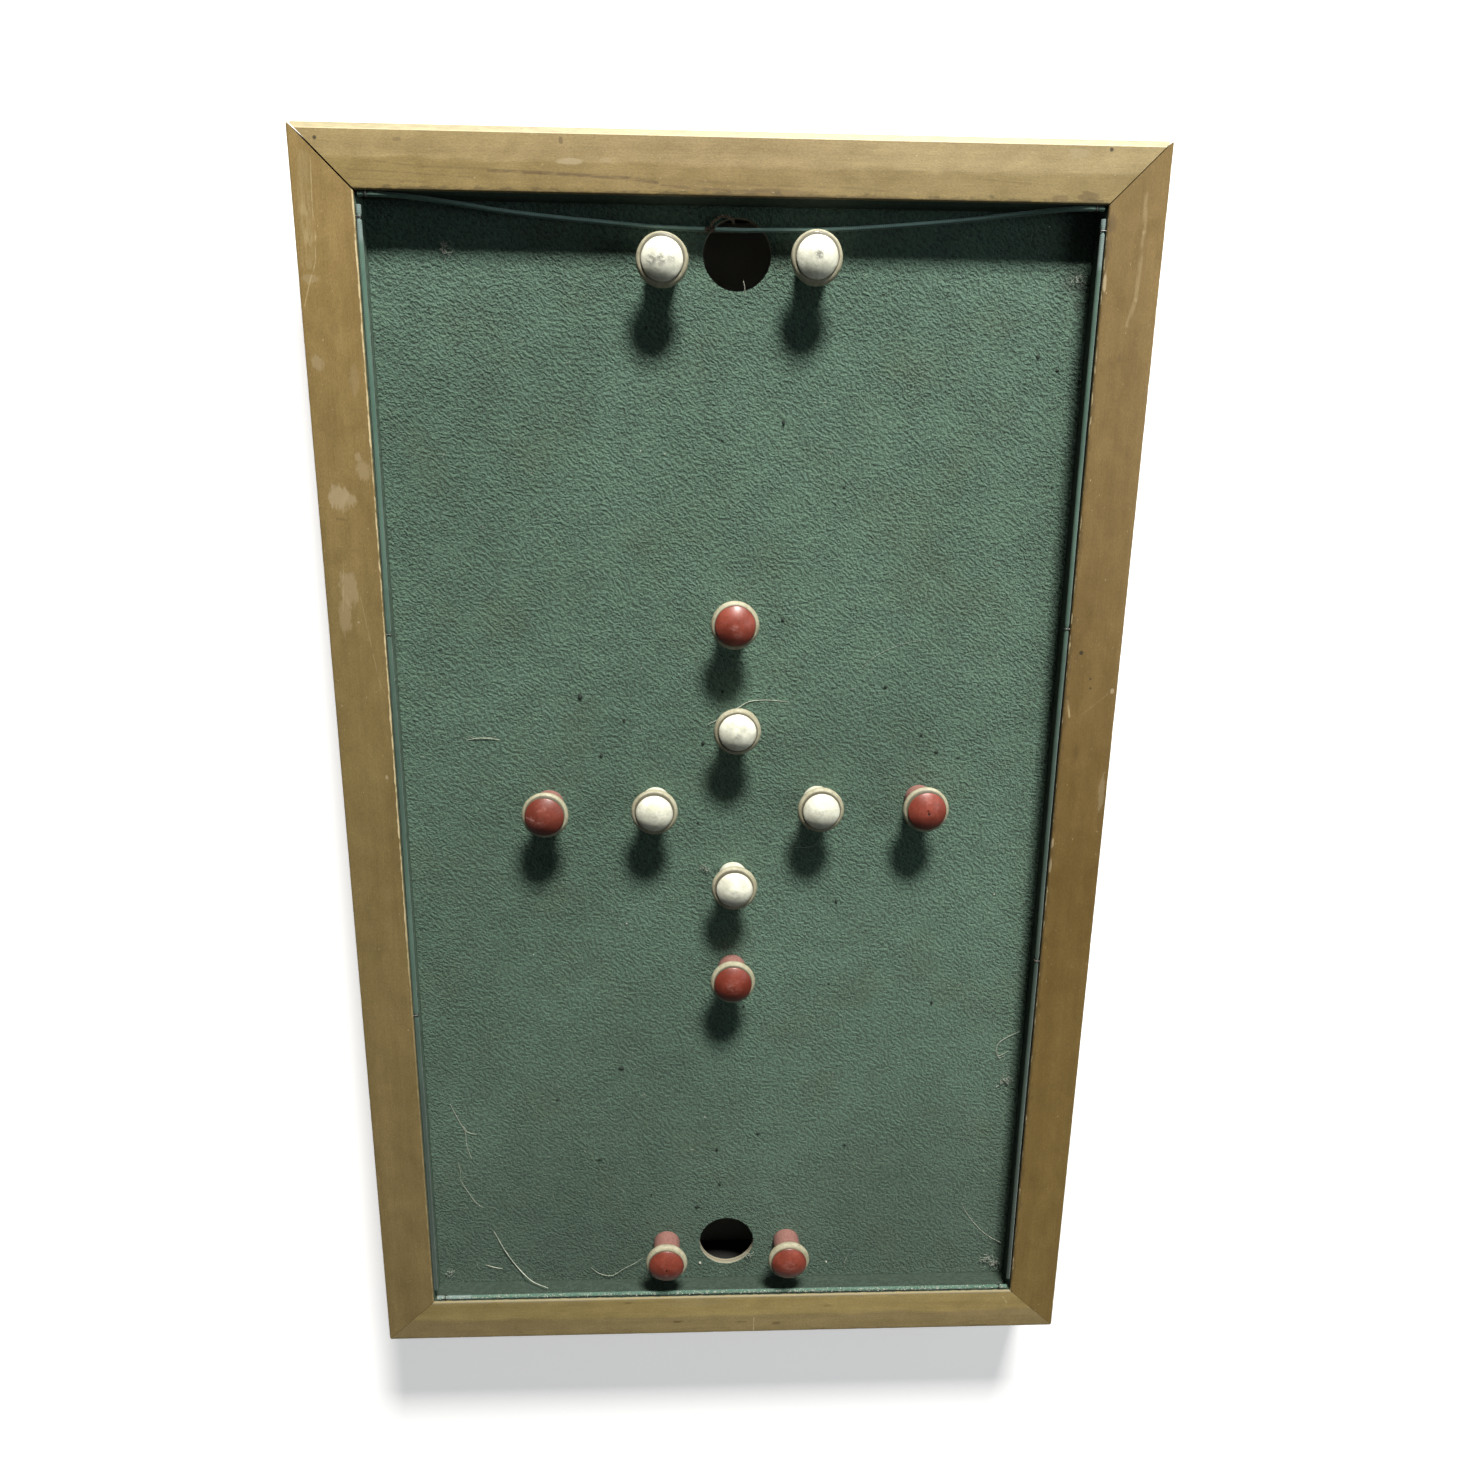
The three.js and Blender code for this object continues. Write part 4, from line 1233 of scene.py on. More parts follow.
def peg_profile(name):
    """(radius, height above the cloth) from the top of the screw's bore, round the peg to its crown."""
    low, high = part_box(f"peg_{name}")
    head_radius = (high.x - low.x) / 2
    edge = 0.5 * MM
    profile = [(0, BORE_HEIGHT), (SCREW_HOLE_RADIUS, BORE_HEIGHT), (SCREW_HOLE_RADIUS, FIT_GAP)]
    profile += arc((STEM_RADIUS - edge, FIT_GAP + edge), edge, -90, 0, 4)
    for share in (0.2, 0.4, 0.6, 0.8):
        profile.append((STEM_RADIUS, FIT_GAP + (NECK_BOTTOM - FIT_GAP) * share))
    profile += arc((STEM_RADIUS - edge, NECK_BOTTOM - edge), edge, 0, 90, 4)
    profile += [(NECK_RADIUS, NECK_BOTTOM), (NECK_RADIUS, HEAD_BOTTOM)]
    profile += arc((head_radius - 0.4 * MM, HEAD_BOTTOM + 0.4 * MM), 0.4 * MM, -90, 20, 5)
    steps = 20
    for i in range(1, steps):
        share = 1 - (i / steps) ** 1.15
        profile.append((head_radius * share, HEAD_EDGE + (HEAD_TOP - HEAD_EDGE) * (1 - share**2)))
    if name in PITTED_PEGS:
        profile += [(PIT_RADIUS, HEAD_TOP - 0.05 * MM), (PIT_RADIUS * 0.8, HEAD_TOP - 0.8 * MM)]
        profile.append((0, HEAD_TOP - 1.0 * MM))
    else:
        profile.append((0, HEAD_TOP))
    return profile


# Where the white heads are scuffed to grey: the peg, the place on its head, the reach in mm and
# how strongly.
WHITE_SCUFFS = [
    ("white_top_left", -0.3, 6.0, 2.8, 0.8), ("white_top_left", -6.5, -2.5, 5.2, 0.75),
    ("white_top_left", -0.5, -2.6, 5.0, 0.8), ("white_top_left", 5.5, -2.0, 4.4, 0.6),
    ("white_top_right", 0.6, -0.6, 4.4, 0.95), ("white_cross_top", 0.5, -2.0, 4.4, 0.45),
    ("white_cross_top", 4.0, 3.0, 3.6, 0.35), ("white_cross_left", 0.0, -3.0, 5.0, 0.3),
    ("white_cross_right", -0.5, -1.0, 6.0, 0.28), ("white_cross_bottom", 1.0, -3.5, 6.0, 0.3),
]


def rubbed_spots(g, flat, spots, ragged):
    """How strongly each point of the heads is rubbed, round the listed places."""
    total = 0.0
    for peg, dx, dy, size, strength in spots:
        centre = (PEG_SPOTS[peg].x + dx * MM, PEG_SPOTS[peg].y + dy * MM, 0)
        spot = g.spot(flat, centre, 0.25 * size * MM, size * MM)
        total = g.math("MAXIMUM", total, g.times(spot, ragged, strength))
    return total


def white_paint():
    g = Graph("worn_white_paint")
    place = g.place()
    world = g.world()
    z = g.parts(place)[2]
    radius = g.length(g.flat(place))
    brushed = g.noise(g.stretch(world, (260, 900, 260), (0, 0, 0), 35), 1, 3, 0.6)
    broad = g.noise(world, 130, 3, 0.6)
    colour = g.mix(g.smooth(broad, 0.35, 0.68), (0.80, 0.80, 0.67), (0.60, 0.60, 0.48))
    colour = g.vary(colour, brushed, 0.90, 1.06)
    scuffs = g.noise(g.stretch(world, (1, 1.4, 1), (2, 0, 0), 25), 430, 5, 0.75)
    where = g.smooth(g.noise(world, 60, 2), 0.45, 0.65)
    colour = g.mix(g.times(g.smooth(scuffs, 0.50, 0.72), where, 0.35), colour, (0.34, 0.34, 0.30))
    flat = g.flat(world)
    scuffed = rubbed_spots(g, flat, WHITE_SCUFFS, g.smooth(scuffs, 0.36, 0.56))
    colour = g.mix(scuffed, colour, (0.15, 0.15, 0.13))
    # Painted shade: the outer ring of each white head is darkened, so that its lit top looks smaller.
    rim = g.times(g.smooth(radius, 11.6 * MM, 13.2 * MM), g.smooth(broad, 0.3, 0.6))
    colour = g.mix(g.times(rim, 0.35), colour, (0.33, 0.29, 0.20))
    stem = g.smooth(z, 24 * MM, 22 * MM)
    colour = g.mix(g.times(stem, 0.25), colour, (0.45, 0.42, 0.32))
    height = g.add(g.times(brushed, 0.8), scuffs)
    return g.finish(colour, 0.46, g.bump(height, 0.08 * MM), Coat_Weight=0.1, Coat_Roughness=0.3)


# Where the red heads are rubbed to pink, like the scuffs above.
RED_SCUFFS = [
    ("red_cross_top", 0.0, -0.5, 4.0, 0.5), ("red_cross_top", 2.5, -5.0, 5.0, 0.3),
    ("red_cross_left", -8.5, -2.2, 3.4, 0.6), ("red_cross_left", -3.0, -4.5, 5.5, 0.3),
    ("red_cross_left", 0.0, 5.0, 4.0, 0.3), ("red_cross_bottom", 0.0, 0.0, 8.0, 0.25),
    ("red_bottom_left", 0.5, -4.5, 2.4, 0.7), ("red_bottom_right", 0.0, 1.0, 8.0, 0.3),
]

# How far each red head's own colour is off the common one.
RED_TINTS = {
    "red_cross_top": (1.22, 1.18, 1.13), "red_cross_right": (1.22, 1.22, 1.20),
    "red_cross_left": (0.88, 0.90, 0.87), "red_cross_bottom": (0.90, 0.78, 0.70),
    "red_bottom_left": (1.10, 1.10, 1.05), "red_bottom_right": (1.10, 1.10, 1.05),
}
SCRATCH_START, SCRATCH_END = (-12.6, -1.2), (-7.0, -2.6)


def red_paint():
    g = Graph("worn_red_paint")
    place = g.place()
    world = g.world()
    z = g.parts(place)[2]
    radius = g.length(g.flat(place))
    broad = g.noise(world, 95, 3, 0.6)
    mottled = g.noise(world, 620, 4, 0.65)
    grainy = g.noise(world, 1400, 3, 0.7)
    colour = g.two_tone(broad, (0.150, 0.028, 0.016), (0.200, 0.042, 0.026))
    colour = g.vary(colour, mottled, 0.85, 1.15)
    colour = g.vary(colour, grainy, 0.88, 1.12)
    for peg, tint in RED_TINTS.items():
        near = g.spot(world, PEG_SPOTS[peg], 24 * MM, 26 * MM)
        colour = g.mix(near, colour, g.tint(colour, tint))
    rubbed = g.noise(g.stretch(world, (1, 1.6, 1), (4, 0, 0), 20), 240, 5, 0.75)
    worn = g.times(g.smooth(rubbed, 0.50, 0.74), g.smooth(radius, 13 * MM, 3 * MM))
    colour = g.mix(g.times(worn, 0.45), colour, (0.33, 0.13, 0.105))
    flat = g.flat(world)
    scuffed = rubbed_spots(g, flat, RED_SCUFFS, g.smooth(rubbed, 0.36, 0.66))
    colour = g.mix(scuffed, colour, (0.42, 0.21, 0.18))
    foot = Vector((PEG_SPOTS["red_cross_left"].x, PEG_SPOTS["red_cross_left"].y, 0))
    ends = [foot + Vector((a * MM, b * MM, 0)) for a, b in (SCRATCH_START, SCRATCH_END)]
    scratch = g.times(g.stroke(flat, *ends, 0.6 * MM), g.smooth(mottled, 0.38, 0.55), 0.6)
    colour = g.mix(scratch, colour, (0.46, 0.26, 0.22))
    for peg in PITTED_PEGS:
        crown = leaned(peg, Vector((0, 0, HEAD_TOP)))
        centre = (PEG_SPOTS[peg].x + crown.x, PEG_SPOTS[peg].y + crown.y, 0)
        colour = g.mix(g.spot(flat, centre, 0.75 * MM, 1.0 * MM), colour, (0.012, 0.005, 0.004))
    stem = g.smooth(z, 24 * MM, 22 * MM)
    chalky = g.two_tone(mottled, (0.215, 0.095, 0.080), (0.275, 0.150, 0.125))
    colour = g.mix(g.times(stem, 0.9), colour, chalky)
    rim = g.smooth(radius, 13.2 * MM, 14.0 * MM)
    colour = g.mix(g.times(rim, 0.4), colour, (0.07, 0.02, 0.012))
    rough = g.add(g.line(grainy, 0.3, 0.7, 0.36, 0.50), g.times(g.add(worn, stem), 0.3))
    height = g.add(mottled, g.times(grainy, 0.6))
    return g.finish(colour, rough, g.bump(height, 0.06 * MM), Coat_Weight=0.12, Coat_Roughness=0.2)


def ring_rubber():
    g = Graph("old_rubber")
    world = g.world()
    radius = g.length(g.flat(g.place()))
    broad = g.noise(world, 110, 4, 0.65)
    grime = g.noise(world, 480, 4, 0.7)
    colour = g.two_tone(broad, (0.40, 0.38, 0.27), (0.30, 0.28, 0.185))
    colour = g.mix(g.smooth(grime, 0.50, 0.66, 0, 0.5), colour, (0.17, 0.15, 0.09))
    # Painted shade: the ring is darkened where it lies under the head's edge.
    inner = g.smooth(radius, 15.0 * MM, 13.8 * MM)
    colour = g.mix(g.times(inner, 0.8), colour, (0.06, 0.052, 0.033))
    return g.finish(colour, g.line(grime, 0.3, 0.7, 0.5, 0.7), g.bump(grime, 0.12 * MM), Coat_Weight=0.05)


RING_INNER_RADIUS = 9.8 * MM
RING_OUTER_RADIUS = (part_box("ring_red_cross_top")[1].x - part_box("ring_red_cross_top")[0].x) / 2
RING_CENTRE_RADIUS = (RING_INNER_RADIUS + RING_OUTER_RADIUS) / 2
RING_HALF_WIDTH = (RING_OUTER_RADIUS - RING_INNER_RADIUS) / 2
RING_HALF_HEIGHT = 3.1 * MM
RING_MIDDLE = 23.35 * MM
RING_SECTION_STEPS = 20


def make_peg(name, material):
    spot = PEG_SPOTS[name]
    base = Vector((spot.x, spot.y, CLOTH_TOP))
    shift = 10 * len(name) + spot.x * 90

    def turned_by_hand(point, angle, row):
        if point.xy.length < SCREW_HOLE_RADIUS * 1.01:
            return point
        wobble = 1 + 0.004 * noise.noise(Vector((1.5 * math.cos(angle), 1.5 * math.sin(angle), shift)))
        return leaned(name, Vector((point.x * wobble, point.y * wobble, point.z)))

    shape = lathe(peg_profile(name), 64, base, wobble=turned_by_hand)
    obj = make_object(f"turned_peg_{name}", *shape, sharp=40)
    finish_piece(obj, material, [f"peg_{name}"])


def make_ring(name, material):
    spot = PEG_SPOTS[name]
    base = Vector((spot.x, spot.y, CLOTH_TOP))
    profile = []
    for i in range(RING_SECTION_STEPS):
        angle = 2 * math.pi * i / RING_SECTION_STEPS
        radius = RING_CENTRE_RADIUS + RING_HALF_WIDTH * math.cos(angle)
        profile.append((radius, RING_MIDDLE + RING_HALF_HEIGHT * math.sin(angle)))
    shift = spot.y * 60 + spot.x * 35

    def stretched(point, angle, row):
        outward = max(0, (point.xy.length - RING_CENTRE_RADIUS) / RING_HALF_WIDTH)
        slow = noise.noise(Vector((0.9 * math.cos(angle), 0.9 * math.sin(angle), shift)))
        fine = noise.noise(Vector((6 * math.cos(angle), 6 * math.sin(angle), shift + 9 * row)))
        grow = 1 + outward * (0.022 * slow + 0.004 * fine)
        return leaned(name, Vector((point.x * grow, point.y * grow, point.z)))

    shape = lathe(profile, 72, base, closed=True, wobble=stretched)
    obj = make_object(f"rubber_ring_{name}", *shape, sharp=60)
    finish_piece(obj, material, [f"ring_{name}"])


# ---------- Screws under the bed ----------

SCREW_HEAD_RADIUS = 4 * MM
SCREW_HEAD_HEIGHT = 2.4 * MM
SCREW_SHANK_RADIUS = 2 * MM
SCREW_TIP = 17 * MM
SLOT_WIDTH = 1.0 * MM
SLOT_DEPTH = 1.1 * MM


def screw_template():
    """A round-headed screw with its slot cut, its tip up, the seat of its head at the origin."""
    tip = SCREW_TIP + CLOTH_TOP - (BED_BOX[0].z - FIT_GAP)
    profile = [(0, -SCREW_HEAD_HEIGHT)]
    for i in range(1, 9):
        angle = math.radians(90 * i / 8)
        profile.append((SCREW_HEAD_RADIUS * math.sin(angle), -SCREW_HEAD_HEIGHT * math.cos(angle)))
    profile += [(SCREW_SHANK_RADIUS, 0), (SCREW_SHANK_RADIUS, 7 * MM)]
    turns = 9
    for i in range(turns):
        z = 7 * MM + (tip - 11 * MM) * i / turns
        profile += [(SCREW_SHANK_RADIUS * 0.78, z + 0.3 * MM), (SCREW_SHANK_RADIUS, z + 0.8 * MM)]
    profile += [(SCREW_SHANK_RADIUS * 0.75, tip - 3 * MM), (0, tip)]
    points, faces, _ = lathe(profile, 40, Vector())
    screw = make_object("screw_template", points, faces, None, 40)
    bpy.ops.mesh.primitive_cube_add(size=1, location=(0, 0, -SCREW_HEAD_HEIGHT))
    cutter = bpy.context.object
    cutter.dimensions = (3 * SCREW_HEAD_RADIUS, SLOT_WIDTH, 2 * SLOT_DEPTH)
    bpy.context.view_layer.update()
    cut = screw.modifiers.new("slot", "BOOLEAN")
    cut.operation = "DIFFERENCE"
    cut.object = cutter
    cut.solver = "EXACT"
    graph = bpy.context.evaluated_depsgraph_get()
    mesh = bpy.data.meshes.new_from_object(screw.evaluated_get(graph))
    bpy.data.objects.remove(screw)
    bpy.data.objects.remove(cutter)
    return mesh


def make_screws():
    template = screw_template()
    material = metal_material("screw_steel", (0.42, 0.40, 0.36), (0.20, 0.11, 0.06), 0.35)
    draw = random.Random(5)
    for name in PEG_NAMES:
        spot = PEG_SPOTS[name]
        mesh = template.copy()
        turn = draw.uniform(0, math.pi)
        for vertex in mesh.vertices:
            x, y, z = vertex.co
            vertex.co = (
                spot.x + x * math.cos(turn) - y * math.sin(turn),
                spot.y + x * math.sin(turn) + y * math.cos(turn),
                BED_BOX[0].z - FIT_GAP + z,
            )
        mesh.materials.clear()
        obj = bpy.data.objects.new(f"slotted_screw_{name}", mesh)
        bpy.context.scene.collection.objects.link(obj)
        finish_piece(obj, material, [f"screw_{name}"])


WHITE_PAINT = white_paint()
RED_PAINT = red_paint()
RING_RUBBER = ring_rubber()
for peg_name in PEG_NAMES:
    make_peg(peg_name, RED_PAINT if peg_name.startswith("red") else WHITE_PAINT)
    make_ring(peg_name, RING_RUBBER)
make_screws()

# ---------- Glue blocks ----------


def glue_block_material():
    g = Graph("raw_pine")
    place = g.world()
    grain = g.noise(g.stretch(place, (380, 380, 24)), 1, 4, 0.6, 0.3)
    broad = g.noise(g.stretch(place, (60, 60, 6)), 1, 3, 0.5, 0.8)
    colour = g.two_tone(broad, (0.50, 0.35, 0.17), (0.66, 0.50, 0.28))
    colour = g.vary(colour, grain, 0.82, 1.1)
    return g.finish(colour, 0.8, g.bump(grain, 0.15 * MM))


def glue_material():
    g = Graph("hide_glue")
    clouds = g.noise(g.world(), 300, 3)
    colour = g.two_tone(clouds, (0.30, 0.14, 0.035), (0.42, 0.23, 0.07))
    return g.finish(colour, 0.28, g.bump(clouds, 0.1 * MM), Coat_Weight=0.4, Coat_Roughness=0.15)


# How far along each leg of a block its line of glue runs down, and how far that line's points are
# below its start, both in millimetres.
GLUE_ALONG = 45.6
GLUE_DROPS = (0.6, 7, 14, 20, 25.3)
GLUE_RADIUS = 0.75 * MM


def make_glue_block(corner, inner, legs, low, high, material):
    """A triangular block. inner is its right-angled corner, and legs lead from there."""
    outline = [inner.xy, (inner + legs[0]).xy, (inner + legs[1]).xy]
    if legs[0].x * legs[1].y < 0:
        outline.reverse()
    block = bmesh.new()
    bottom = [block.verts.new((*point, low.z)) for point in outline]
    top = [block.verts.new((*point, high.z)) for point in outline]
    block.faces.new(list(reversed(bottom)))
    block.faces.new(top)
    for i in range(3):
        j = (i + 1) % 3
        block.faces.new((bottom[i], bottom[j], top[j], top[i]))
    bmesh.ops.bevel(block, geom=block.edges[:], offset=0.8 * MM, segments=2, affect="EDGES")
    bmesh.ops.recalc_face_normals(block, faces=block.faces)
    mesh = bpy.data.meshes.new(f"corner_block_{corner}")
    block.to_mesh(mesh)
    block.free()
    mesh.shade_smooth()
    mesh.set_sharp_from_angle(angle=math.radians(30))
    obj = bpy.data.objects.new(f"corner_block_{corner}", mesh)
    bpy.context.scene.collection.objects.link(obj)
    finish_piece(obj, material, [f"glue_block_{corner}"])


def make_glue_beads(corner, inner, ways, top, material, draw):
    """Squeezed-out lines of glue, where the far end of each leg meets its rail."""
    beads = Soup()
    for way, side in (ways, ways[::-1]):
        start = Vector((inner.x, inner.y, top - 0.5 * MM)) + GLUE_ALONG * MM * way
        route = [start + Vector((0, 0, -drop * MM)) for drop in GLUE_DROPS]
        route = [point + draw.uniform(-0.3, 0.2) * MM * way + 0.5 * MM * side for point in route]
        shift = draw.uniform(0, 90)

        def lumpy(length, angle, shift=shift):
            lump = noise.noise(Vector((length * 300, shift, math.cos(angle))))
            return GLUE_RADIUS * (1 + 0.6 * lump)

        beads.add(*tube(smooth_line(route, 1 * MM), lumpy, 10))
    finish_piece(beads.make(f"glue_beads_{corner}"), material)


def make_glue_blocks():
    wood, glue = glue_block_material(), glue_material()
    draw = random.Random(9)
    for corner in ("top_left", "top_right", "bottom_left", "bottom_right"):
        low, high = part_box(f"glue_block_{corner}")
        sign_x = -1 if "left" in corner else 1
        sign_y = 1 if "top" in corner else -1
        inner = Vector((high.x if sign_x > 0 else low.x, high.y if sign_y > 0 else low.y, 0))
        ways = [Vector((-sign_x, 0, 0)), Vector((0, -sign_y, 0))]
        legs = [ways[0] * (high.x - low.x), ways[1] * (high.y - low.y)]
        make_glue_block(corner, inner, legs, low, high, wood)
        make_glue_beads(corner, inner, ways, high.z, glue, draw)


make_glue_blocks()

# ---------- Dust, lint and stray fibres ----------


def lint_material(name, light, dark):
    """Soft matt fibre or dust that varies between two colours."""
    g = Graph(name)
    shade = g.noise(g.world(), 700, 3)
    colour = g.two_tone(shade, light, dark)
    return g.finish(colour, 0.9, g.bump(shade, 0.03 * MM))


def on_cloth(x, y, height=0.35):
    """A place on the cloth or above it, from one in millimetres."""
    return Vector((x * MM, y * MM, CLOTH_TOP + height * MM))


def make_fibres():
    """The pale bristles and hairs that lie on the cloth, each with its radius and its route, and
    short lint scattered by chance. All of it is in millimetres."""
    routes = [
        (0.34, [
            (-190.8, -364.4, 0.7), (-181.8, -383.1, 2), (-171.1, -402, 1.2), (-160, -409.5, 6),
            (-146, -410, 13),
        ]),
        (0.28, [(-199, -397.5), (-192, -400), (-185.5, -401.5)]),
        (0.17, [(-216, -314.2), (-210.2, -326.6), (-204, -337), (-198.8, -342)]),
        (0.14, [(-216.5, -300), (-215, -307, 1.2), (-216, -314.2, 0.6)]),
        (0.20, [(-220.1, -244.9), (-213.1, -261.4, 1), (-209.5, -270), (-209, -282), (-205.5, -296)]),
        (0.16, [(-210.8, -265, 0.5), (-207.3, -270.6, 0.8), (-200.5, -273)]),
        (0.20, [(197.7, -344.2), (203.8, -356.6), (217.3, -373.3), (225, -379.5), (234.5, -384.5, 1.4)]),
        (0.24, [
            (-16, 66), (-9.6, 69.6, 0.6), (0, 75.5, 0.8), (7.3, 79.8, 0.8), (13.3, 83.3, 0.8),
            (22, 84.4), (31.5, 84.3), (43, 83),
        ]),
        (0.16, [(47.5, -29), (58, -29.2), (65, -27.4, 0.8), (69, -21, 2)]),
        (0.22, [(-191.7, 54.4), (-179.5, 56.2, 1), (-166.6, 54.4)]),
        (0.13, [(-190, 57.5), (-184, 55.2), (-170, 57)]),
        (0.20, [
            (234, -185.3, 1.5), (226, -189.8, 1), (218.2, -196, 0.8), (216.6, -203),
            (218.5, -207.6), (226.5, -203.6),
        ]),
        (0.15, [(216.5, -200), (219.5, -209, 1), (224, -207.5)]),
        (0.17, [
            (-112, -401.5, 1), (-104.5, -407.5, 1.2), (-95, -409.5, 1.5), (-84.5, -403, 1.5),
            (-73.5, -395.5, 2.5), (-67, -388, 5),
        ]),
        (0.12, [(5.9, 367.4, -1), (6.8, 364, 0.8), (7.2, 357)]),
        (0.13, [(104, -395), (101.5, -401.5, 1), (102, -407)]),
        (0.08, [(95, 108), (106, 118, 0.8), (124, 126, 0.5), (138, 129)]),
    ]
    fibres = Soup()
    for radius, route in routes:
        fibres.add_fibre([on_cloth(*point) for point in route], radius * MM)
    draw = random.Random(31)
    for _ in range(110):
        x, y = draw.uniform(-230, 230), draw.uniform(-402, 390)
        angle, reach = draw.uniform(0, math.pi), draw.uniform(1.2, 4.5)
        bend = draw.uniform(-0.8, 0.8)
        step = Vector((math.cos(angle), math.sin(angle))) * reach / 2
        if any(math.hypot(x * MM - a, y * MM - b) < 30 * MM for a, b in POCKETS):
            continue
        route = [(x - step.x, y - step.y), (x - bend * step.y, y + bend * step.x), (x + step.x, y + step.y)]
        route = [on_cloth(*point, 0.2) for point in route]
        fibres.add_fibre(route, draw.uniform(0.05, 0.1) * MM, 5, 0.8 * MM)
    piece = fibres.make("stray_fibres")
    finish_piece(piece, lint_material("pale_fibre", (0.50, 0.52, 0.44), (0.36, 0.38, 0.30)))


def make_fluff():
    """Tufts of fluff, most of them in the corners. Each has its place, its spread and its count."""
    draw = random.Random(8)
    fluff = Soup()
    tufts = [(222, -400, 4.5, 40), (230, -404, 4.5, 40), (-187.7, 383.5, 4.5, 34), (229, 371, 4, 14)]
    tufts += [(20, -391, 3, 14), (-17, -45, 2.2, 16), (-228, -404, 3.5, 16), (226, -229, 4.5, 34)]
    for x, y, size, count in tufts:
        for _ in range(count):
            at_x, at_y = x + draw.gauss(0, size / 2), y + draw.gauss(0, size / 2)
            centre = on_cloth(at_x, at_y, draw.uniform(0.3, 2))
            route = [centre]
            for _ in range(3):
                step = Vector((draw.uniform(-1, 1), draw.uniform(-1, 1), draw.uniform(-0.35, 0.4)))
                centre = route[-1] + step * draw.uniform(0.8, 2.4) * MM
                centre.z = max(centre.z, CLOTH_TOP + 0.2 * MM)
                route.append(centre)
            fluff.add_fibre(route, draw.uniform(0.08, 0.2) * MM, 5, 0.7 * MM)
    grey = lint_material("grey_fluff", (0.40, 0.43, 0.37), (0.24, 0.27, 0.22))
    finish_piece(fluff.make("fluff_tufts"), grey)


# Where dark specks were seen on the cloth, in millimetres. A few more are scattered by chance, and
# all of them have sizes by chance between these two, also in millimetres.
SEEN_SPECKS = [
    (220.5, 314), (37, 143), (113.5, 94.5), (-108.5, 87), (-77, 69), (141.5, 58.5), (-19.5, 52),
    (153.5, 45.5), (170, 41), (-23, -9.5), (-134.5, -242.5), (26.5, -276), (-102, -298),
    (-4.5, -323), (-60.5, -332), (-23, -344.5),
]
SCATTERED_SPECKS = 12
SPECK_SIZES = (1.2, 2.2)
CLEAR_OF_PEG = 21 * MM
CLEAR_OF_POCKET = 27 * MM


def clear_spot(x, y):
    """Whether a place on the cloth, in millimetres, is away from the pockets and the pegs."""
    spots = [(a, b, CLEAR_OF_POCKET) for a, b in POCKETS]
    spots += [(spot.x, spot.y, CLEAR_OF_PEG) for spot in PEG_SPOTS.values()]
    return all(math.hypot(x * MM - a, y * MM - b) > reach for a, b, reach in spots)


def make_crumbs():
    """Dust on the bottom cord and along its rail, crumbs all over the cloth, and its dark specks."""
    draw = random.Random(77)
    low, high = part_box("cushion_cord_bottom")
    pale, dark = Soup(), Soup()
    for _ in range(520):
        x = draw.uniform(low.x, high.x)
        angle = draw.uniform(0.0, 1.9)
        out = Vector((0, math.cos(angle), math.sin(angle)))
        centre = Vector((x, (low.y + high.y) / 2, (low.z + high.z) / 2)) + 1.6 * MM * out
        pale.add_crumb(centre, draw.uniform(0.15, 0.50) * MM, draw)
    for _ in range(60):
        x, y = draw.uniform(-232, 232), -413.4 + draw.expovariate(0.2)
        pale.add_crumb(on_cloth(x, y, 0.1), draw.uniform(0.12, 0.3) * MM, draw)
    for _ in range(120):
        x, y = draw.uniform(-232, 232), draw.uniform(-405, 405)
        if all(math.hypot(x * MM - a, y * MM - b) > 25 * MM for a, b in POCKETS):
            soup = dark if draw.random() < 0.6 else pale
            soup.add_crumb(on_cloth(x, y, 0.1), draw.uniform(0.15, 0.55) * MM, draw)
    pale.add_crumb(on_cloth(-20.5, -399.5, 0.4), 1.3 * MM, draw)
    pale.add_crumb(on_cloth(86, -401, 0.4), 1.1 * MM, draw)
    scattered = [(draw.uniform(-225, 225), draw.uniform(-355, 355)) for _ in range(SCATTERED_SPECKS)]
    for x, y in SEEN_SPECKS + [spot for spot in scattered if clear_spot(*spot)]:
        dark.add_crumb(on_cloth(x, y, 0.1), draw.uniform(*SPECK_SIZES) * MM, draw)
    pale_dust = lint_material("pale_dust", (0.62, 0.61, 0.52), (0.42, 0.42, 0.35))
    dark_dust = lint_material("dark_dust", (0.012, 0.021, 0.014), (0.022, 0.036, 0.025))
    finish_piece(pale.make("dust_crumbs"), pale_dust)
    finish_piece(dark.make("dark_crumbs"), dark_dust)


make_fibres()
make_fluff()
make_crumbs()

# ---------- Floor and light ----------


FLOOR_COLOUR = (0.86, 0.86, 0.86)
FLOOR_PAINTED_SHADE = (0.30, 0.29, 0.25)
FLOOR_GLOW = (0.50, 0.50, 0.50)
FLOOR_HALF_SIZE = 40.0


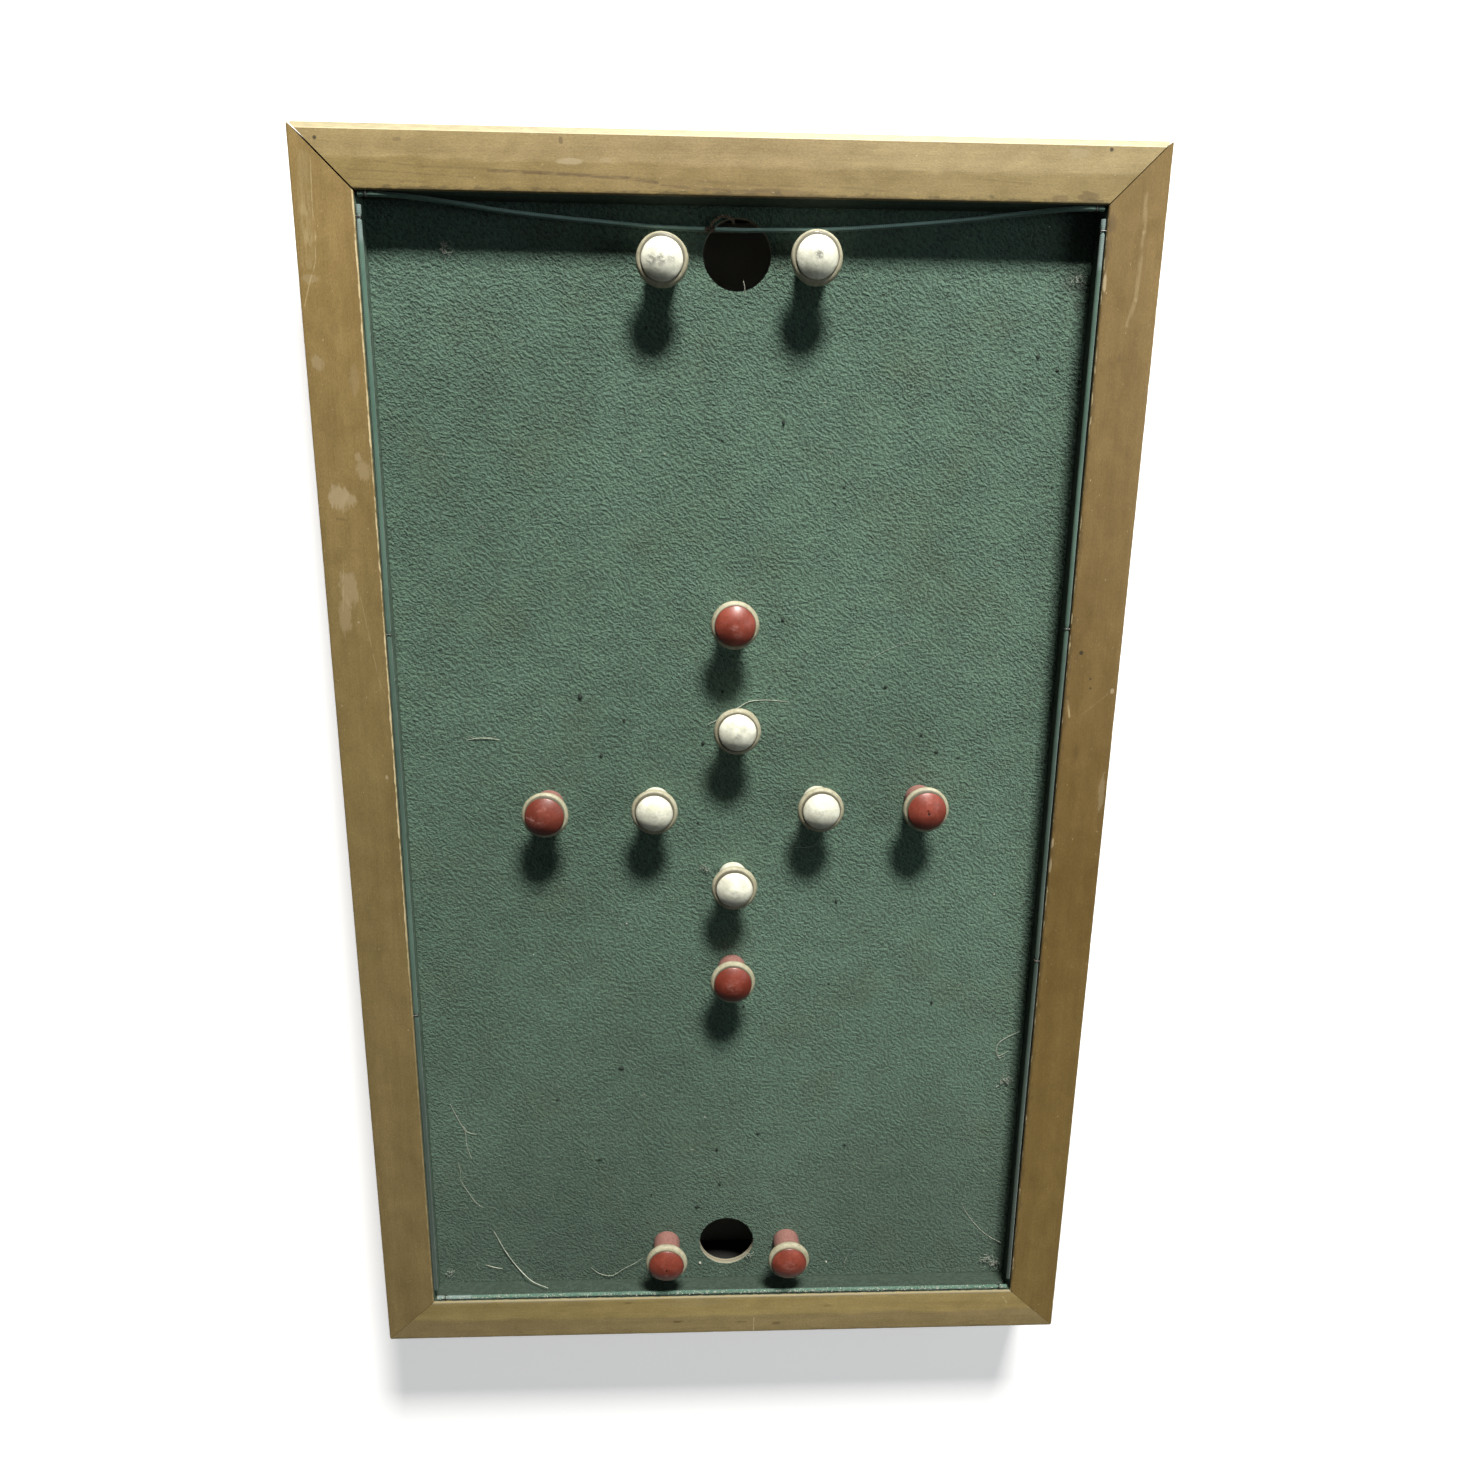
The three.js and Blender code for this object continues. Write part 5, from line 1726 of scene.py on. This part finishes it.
def make_floor():
    """A pale floor with a little glow, which keeps the board's shadow light. Under the board it is
    dark and has no glow: a painted shade that shows through the pockets."""
    g = Graph("pale_floor")
    soft = g.noise(g.world(), 2.0, 2)
    colour = g.vary(FLOOR_COLOUR, soft, 0.98, 1.0)
    x, y, _ = g.parts(g.world())
    beside = g.math("SUBTRACT", g.math("ABSOLUTE", x), BOARD_X)
    beyond = g.math("SUBTRACT", g.math("ABSOLUTE", y), BOARD_Y)
    under = g.smooth(g.math("MAXIMUM", beside, beyond), -4 * MM, -12 * MM)
    # Painted shade: the floor is darkened under the board, where it shows through the pockets.
    colour = g.mix(under, colour, FLOOR_PAINTED_SHADE)
    g.connect(g.shader.inputs["Emission Color"], g.mix(under, FLOOR_GLOW, (0, 0, 0)))
    material = g.finish(colour, 0.9, Emission_Strength=1.0)
    half = FLOOR_HALF_SIZE
    corners = [(-half, -half, 0), (half, -half, 0), (half, half, 0), (-half, half, 0)]
    floor = make_object("floor", corners, [(0, 1, 2, 3)])
    floor.data.materials.append(material)
    floor.location.z = -0.2 * MM


# The key light is low and beyond the top rail, and these are half the angles it spans there.
KEY_PLACE = Vector((0.464, 2.975, 1.608))
KEY_HALF_WIDE = math.radians(6.5)
KEY_HALF_TALL = math.radians(3.8)
KEY_POWER = 261
KEY_COLOUR = (1.0, 0.98, 0.93)
FILL_PLACE = Vector((1.1, 0.3, 0.9))
FILL_TARGET = Vector((0.1, 0, 0))
FILL_POWER = 3
FILL_COLOUR = (0.85, 0.95, 1.0)
WORLD_COLOUR = (0.9, 0.95, 1.0, 1)
WORLD_STRENGTH = 0.045


def make_area_light(name, place, target, power, size, colour):
    data = bpy.data.lights.new(name, "AREA")
    data.shape = "RECTANGLE"
    data.size, data.size_y = size
    data.energy = power
    data.color = colour
    light = bpy.data.objects.new(name, data)
    light.location = place
    light.rotation_euler = (target - place).to_track_quat("-Z", "Y").to_euler()
    bpy.context.scene.collection.objects.link(light)


def make_light():
    wide = 2 * KEY_PLACE.length * math.tan(KEY_HALF_WIDE)
    tall = 2 * KEY_PLACE.length * math.tan(KEY_HALF_TALL)
    make_area_light("key", KEY_PLACE, Vector((0, 0, 0)), KEY_POWER, (wide, tall), KEY_COLOUR)
    make_area_light("fill", FILL_PLACE, FILL_TARGET, FILL_POWER, (0.6, 0.6), FILL_COLOUR)
    world = bpy.data.worlds.new("studio")
    world.use_nodes = True
    background = world.node_tree.nodes["Background"]
    background.inputs["Color"].default_value = WORLD_COLOUR
    background.inputs["Strength"].default_value = WORLD_STRENGTH
    bpy.context.scene.world = world


make_floor()
make_light()
bpy.context.scene.view_settings.view_transform = "Standard"
